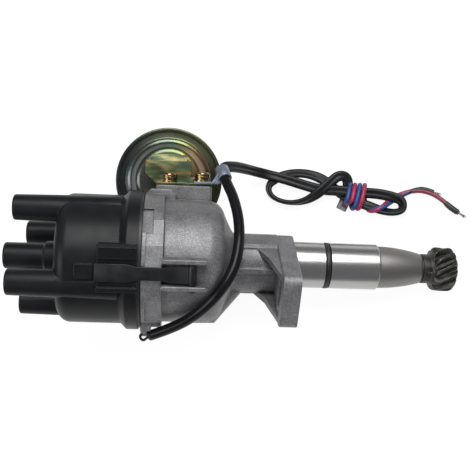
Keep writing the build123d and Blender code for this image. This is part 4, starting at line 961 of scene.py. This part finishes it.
@dataclass
class SignalLead:
    """The lead from the clamp to its two bare ends, with the hank; the sleeve is LeadSleeve's.

    The points are the route of the part's source, and along the hank the photograph's.
    """

    sheath_w: float = 7.0
    sheath_t: float = 3.0
    wire_r: float = 1.5
    hank_x: float = 40.6
    hank_y: float = 43.4
    turns: int = 2
    turn_points: int = 12
    wrap_half: float = 8.2
    wrap_pitch: float = 6.2
    wrap_lift: float = 5.75
    wrap_rise: float = 4.1
    wrap_lean: float = 0.12
    pair_twist: float = 0.9
    pair_lift: float = 0.6
    pair_x: float = 0.3
    pair_y: float = 0.8
    tape_from: float = 103.5
    tape_thick: float = 0.25
    tape_wave: float = 3.1
    strand_r: float = 0.16
    strand_gap: float = 0.28
    strand_count: int = 6
    strand_reach: float = 4.6
    strand_spread: float = 0.9
    strand_wave: float = 2.4
    table: Table = Table()

    def sheath_route(self) -> list[tuple[Point, float]]:
        """List the control points of the black sheath.

        Returns:
            Each point in millimetres, with its tilt in degrees.
        """
        return [
            (CLAMP_EXIT, 20), ((-44.0, 57.9, -9.4), 10), ((-37.2, 59.2, -17.0), 0),
            ((-28.8, 58.8, -30.0), 0), ((-20.8, 57.9, -44.6), -10), ((-9.9, 55.8, -48.3), -15),
            ((2.3, 53.0, -45.3), 0), ((12.9, 49.9, -42.4), 0), ((23.8, 47.0, -39.2), 0),
            ((36.6, 47.0, -34.6), 0), ((50.5, 46.2, -31.1), 0), ((61.5, 45.8, -30.0), 0),
            ((69.8, 44.2, -27.8), 10), ((75.9, 42.0, -25.6), 50), ((76.2, 35.0, -24.6), 80),
            ((67.6, 33.6, -26.8), 60), ((56.8, 37.0, -30.3), 30), ((43.5, 41.1, -34.0), 0),
            ((34.0, 47.6, -39.9), 0), ((25.7, 54.8, -44.0), 10), ((15.2, 58.0, -46.8), 40),
            ((4.4, 57.5, -48.9), 40), ((-5.2, 53.8, -50.2), 30), ((-10.7, 47.4, -48.1), 80),
            ((-7.6, 40.6, -45.2), 90), ((2.6, 37.3, -42.1), 90), ((13.8, 38.8, -39.9), 60),
            ((21.9, 44.4, -36.2), 10), ((30.1, 52.4, -37.1), 0), ((35.3, 57.2, -37.5), -10),
            ((41.0, 56.4, -37.9), 0), ((42.3, 50.4, -38.0), 10), ((41.6, 42.8, -37.5), 10),
            (LEAD_END, 10),
        ]

    def wire_route(self, start_turn: float, side: float) -> list[Point]:
        """Lay the control points of one wire: its turns round the hank, then the tail.

        Args:
            start_turn: where the wire starts round the hank, in turns.
            side: offset of the wire from the pair's middle, in millimetres.

        Returns:
            The points, in millimetres.
        """
        route = [self.table.over(39.4 + 0.7 * side, 37.4, 1.9)]
        for step in range(2, self.turns * self.turn_points - 1):
            angle = math.tau * step / self.turn_points
            above = -self.wrap_half * math.cos(angle)
            along = (step / self.turn_points + start_turn - 0.25) * self.wrap_pitch
            x = self.hank_x + along + self.wrap_lean * above
            lift = self.wrap_lift + self.wrap_rise * math.sin(angle)
            route.append(self.table.over(x, self.hank_y + above, lift))
        tail = [(54.8, 35.0, 3.4), (58.8, 35.2, 6.6), (63.4, 37.4, 6.2), (68.2, 40.8, 3.0),
                (73.4, 44.2, 1.8), (79.6, 47.4, 1.7), (86.4, 49.4, 1.7), (91.2, 49.5, 1.7)]
        for index, (x, y, lift) in enumerate(tail):
            swing = side * math.cos(index * self.pair_twist)
            cross = self.pair_lift * abs(side) * (1 - abs(swing / side))
            route.append(self.table.over(x + self.pair_x * side, y + self.pair_y * swing,
                                         lift + cross))
        return route

    def build(self, shelf: FinishShelf) -> None:
        """Args:
            shelf: the finishes.
        """
        route = self.sheath_route()
        points = [point for point, _ in route]
        tilts = [math.radians(tilt) for _, tilt in route]
        sheath = flat_tube("lead_sheath", points, tilts, self.sheath_w, self.sheath_t)
        line = line_points(points)
        shelf.dress(sheath, "lead_plastic")
        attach(sheath, "fixed")
        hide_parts("lead_run", "lead_hank", "lead_tail")
        ends = {
            "blue": [self.table.over(96.9, 48.3, 1.7)],
            "red": [self.table.over(97.0, 46.8, 1.8), self.table.over(102.6, 42.8, 2.4),
                    self.table.over(106.8, 38.4, 2.5), self.table.over(111.8, 35.2, 2.4)],
        }
        for name, start_turn, side in (("blue", 0.0, 1.0), ("red", 0.5, -1.0)):
            wire_points = self.wire_route(start_turn, side) + ends[name]
            wire = spline_curve(name + "_wire", wire_points, self.wire_r)
            wire_line = line_points(wire_points)
            shelf.dress(wire, "wire_" + name)
            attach(wire, "fixed")
            pieces = [self.strands(name, wire_points[-2], wire_points[-1], shelf)]
            if name == "red":
                pieces.append(self.wrap(wire_line, shelf))
        log.info("signal lead built")

    def wrap(self, line: Sequence[Vector], shelf: FinishShelf) -> Piece:
        """Black tape wound round the last stretch of the longer wire.

        Args:
            line: points along the wire's smooth line, in metres.
            shelf: the finishes.

        Returns:
            The tape, as one mesh.
        """
        stretch = [point for point in line if point.x > self.tape_from * MM]
        swell = [math.sin(self.tape_wave * index) + math.sin(math.pi * index / len(stretch))
                 for index in range(len(stretch))]
        tape = tube_along("red_wire_tape", stretch[:-1],
                          [self.wire_r + self.tape_thick * (1 + part) for part in swell])
        shelf.dress(tape, "black_rubber")
        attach(tape, "fixed")
        return tape

    def strands(self, name: str, before: Point, end: Point, shelf: FinishShelf) -> Piece:
        """Bare copper strands that stand out of a wire's end.

        Args:
            name: the wire's name.
            before: the control point before the wire's end.
            end: the wire's end.
            shelf: the finishes.

        Returns:
            The strands, as one mesh.
        """
        along = (Vector(end) - Vector(before)).normalized()
        across = along.cross(Vector((0, 0, 1))).normalized()
        data = bpy.data.curves.new(name + "_strands", "CURVE")
        data.dimensions = "3D"
        data.bevel_depth = self.strand_r * MM
        data.bevel_resolution = 2
        data.use_fill_caps = True
        for index in range(self.strand_count):
            spread = (index - (self.strand_count - 1) / 2) * self.strand_gap
            spline = data.splines.new("NURBS")
            spline.points.add(3)
            reach = self.strand_reach + self.strand_spread * math.sin(index * self.strand_wave)
            for control, share in zip(spline.points, (-0.15, 0.3, 0.7, 1.0)):
                bend = spread * (0.6 + 0.7 * share * share)
                spot = Vector(end) + along * reach * share + across * bend
                control.co = (*(spot * MM), 1.0)
            spline.order_u = 3
            spline.use_endpoint_u = True
        piece = linked(name + "_strands", data)
        shelf.dress(piece, "bare_copper")
        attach(piece, "fixed")
        return piece


@dataclass
class LeadSleeve:
    """The smooth vinyl tube that guards the lead along the housing."""

    radius: float = 3.15
    wall: float = 0.6
    route: tuple[Point, ...] = (
        (-84.1, -44.0, 12.0), (-69.5, -37.2, 21.0), (-55.5, -26.2, 32.0), (-45.0, -14.0, 37.4),
        (-37.8, -1.5, 34.6), (-34.4, 12.0, 28.5), (-34.2, 26.5, 18.5), (-37.4, 40.0, 8.6),
        (-41.4, 48.6, 0.2), CLAMP_EXIT)

    def build(self, shelf: FinishShelf) -> None:
        """Sweep the open tube and give it its wall.

        Args:
            shelf: the finishes.
        """
        curve = spline_curve("sleeve_line", self.route, self.radius, ends=Ends.OPEN)
        curve.data.bevel_resolution = 10
        sleeve = swept_object("vinyl_sleeve", curve)
        wall = sleeve.modifiers.new("wall", "SOLIDIFY")
        wall.thickness = self.wall * MM
        wall.offset = -1
        shelf.dress(sleeve, "sleeve_plastic")
        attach(sleeve, "fixed")
        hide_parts("lead_sleeve")
        log.info("sleeve built")


@dataclass(frozen=True)
class Lamp:
    """A soft area lamp: place and side in metres, power in watts."""

    name: str
    place: Point
    size: float
    power: float
    mirrored: bool = True


@dataclass
class Studio:
    """Camera, lamps, world and floor."""

    focal_px: float = 750.0
    frame_px: float = 470.0
    sensor_mm: float = 36.0
    turn: float = 0.0755
    tilt: float = 0.0487
    roll: float = 0.0388
    place: Point = (-69.4755, 39.1442, 456.1307)
    aim: Point = (-0.03, 0.01, 0.0)
    lamps: tuple[Lamp, ...] = (
        Lamp("key_lamp", (-0.08, 0.75, 0.78), 0.7, 13.6),
        Lamp("side_lamp", (-0.8, -0.1, 0.6), 0.6, 5.0),
        Lamp("fill_lamp", (0.5, -0.5, 0.7), 0.9, 5.0, mirrored=False),
    )
    dome: tuple[float, float, float, float] = (0.26, 0.26, 0.27, 1.0)
    floor_half: float = 500.0
    floor_drop: float = 0.2
    floor_albedo: float = 0.82
    floor_glow: float = 1.06
    floor_share: float = 0.86

    def camera(self) -> None:
        """Place the camera that was fitted to the photograph."""
        s, c = math.sin(self.turn), math.cos(self.turn)
        ahead = Vector((s * math.cos(self.tilt), -math.sin(self.tilt), -c * math.cos(self.tilt)))
        level = Vector((c, 0, s))
        upright = level.cross(ahead)
        right = level * math.cos(self.roll) + upright * math.sin(self.roll)
        up = upright * math.cos(self.roll) - level * math.sin(self.roll)
        data = bpy.data.cameras.new("camera")
        data.sensor_width = self.sensor_mm
        data.lens = self.focal_px / self.frame_px * self.sensor_mm
        data.clip_start = 0.01
        camera = linked("camera", data)
        axes = Matrix((right, up, -ahead)).transposed().to_4x4()
        camera.matrix_world = Matrix.Translation(Vector(self.place) * MM) @ axes
        bpy.context.scene.camera = camera

    def light(self, lamp: Lamp) -> None:
        """Add one lamp that faces the distributor's middle.

        Args:
            lamp: the lamp; glossy surfaces show it only if it is mirrored.
        """
        data = bpy.data.lights.new(lamp.name, "AREA")
        data.size = lamp.size
        data.energy = lamp.power
        piece = linked(lamp.name, data)
        piece.location = lamp.place
        piece.visible_glossy = lamp.mirrored
        piece.rotation_euler = (Vector(self.aim) - Vector(lamp.place)).to_track_quat(
            "-Z", "Y").to_euler()

    def world(self) -> None:
        """Grey light all round, with white where the camera looks, also through clear matter."""
        world = bpy.data.worlds.new("studio")
        bpy.context.scene.world = world
        work = Nodes(world)
        ray = work.add("LightPath").outputs
        seen = work.calc("MAXIMUM", ray["Is Camera Ray"], ray["Is Transmission Ray"])
        work.feed(work.tree.nodes["Background"],
                  {"Strength": 1.0, "Color": work.mixed(seen, self.dome, "#ffffff")})

    def table_skin(self) -> bpy.types.Material:
        """Make the table's material: white where it is seen, with a faint shadow.

        Seen from below, the table is clear, so that it never hides the part.

        Returns:
            The material.
        """
        material = bpy.data.materials.new("white_table")
        work = Nodes(material)
        shader = work.tree.nodes["Principled BSDF"]
        work.feed(shader, {"Base Color": (*[self.floor_albedo] * 3, 1), "Roughness": 0.9,
                           "Specular IOR Level": 0.1})
        ray = work.add("LightPath").outputs
        direct = work.calc("MAXIMUM", ray["Is Camera Ray"], ray["Is Glossy Ray"])
        seen = work.calc("MAXIMUM", direct, ray["Is Transmission Ray"])
        glow = work.add("Emission", {"Strength": self.floor_glow})
        above = work.add("MixShader", {0: work.calc("MULTIPLY", seen, self.floor_share),
                                       1: shader.outputs[0], 2: glow.outputs[0]})
        clear = work.add("BsdfTransparent")
        both = work.add("MixShader", {0: work.add("NewGeometry").outputs["Backfacing"],
                                      1: above.outputs[0], 2: clear.outputs[0]})
        work.feed(work.tree.nodes["Material Output"], {"Surface": both.outputs[0]})
        return material

    def floor(self) -> None:
        """Lay the table top under the resting part."""
        top = Table()
        work = bmesh.new()
        half = self.floor_half
        corners = [top.over(x, y, -self.floor_drop)
                   for x, y in ((-half, -half), (half, -half), (half, half), (-half, half))]
        work.faces.new([work.verts.new([value * MM for value in corner]) for corner in corners])
        table = mesh_object("table", work)
        if table.data.polygons[0].normal.z < 0:
            table.data.flip_normals()
        table.data.materials.append(self.table_skin())

    def build(self) -> None:
        """Set the whole studio up."""
        scene = bpy.context.scene
        scene.view_settings.view_transform = "Standard"
        self.camera()
        self.world()
        for lamp in self.lamps:
            self.light(lamp)
        self.floor()
        log.info("studio built")


def dress_frame(frame: dict, shelf: FinishShelf) -> None:
    """Give every node of the frame the finish of its material slot.

    Args:
        frame: what the loader returned.
        shelf: the finishes.
    """
    slots = {row["node"]: row["material_slot"] for row in frame["record"]["subparts"]}
    slots["gear_pin"] = slots["gear_washer"] = "gear_steel"
    for name, node in frame["nodes"].items():
        shelf.dress(node, slots[name])
    log.info("dressed %d nodes", len(slots))


def main() -> None:
    """Build the pieces in order."""
    logging.basicConfig(level=logging.INFO, format="%(name)s: %(message)s")
    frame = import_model()
    shelf = FinishShelf()
    Studio().build()
    dress_frame(frame, shelf)
    VacuumCan().build(shelf)
    CanSpring().build(frame, shelf)
    SoftenedPieces().build(frame, shelf)
    ScrewRibs().build(shelf)
    SignalLead().build(shelf)
    LeadSleeve().build(shelf)
    bpy.context.view_layer.update()


if __name__ == "__main__":
    main()
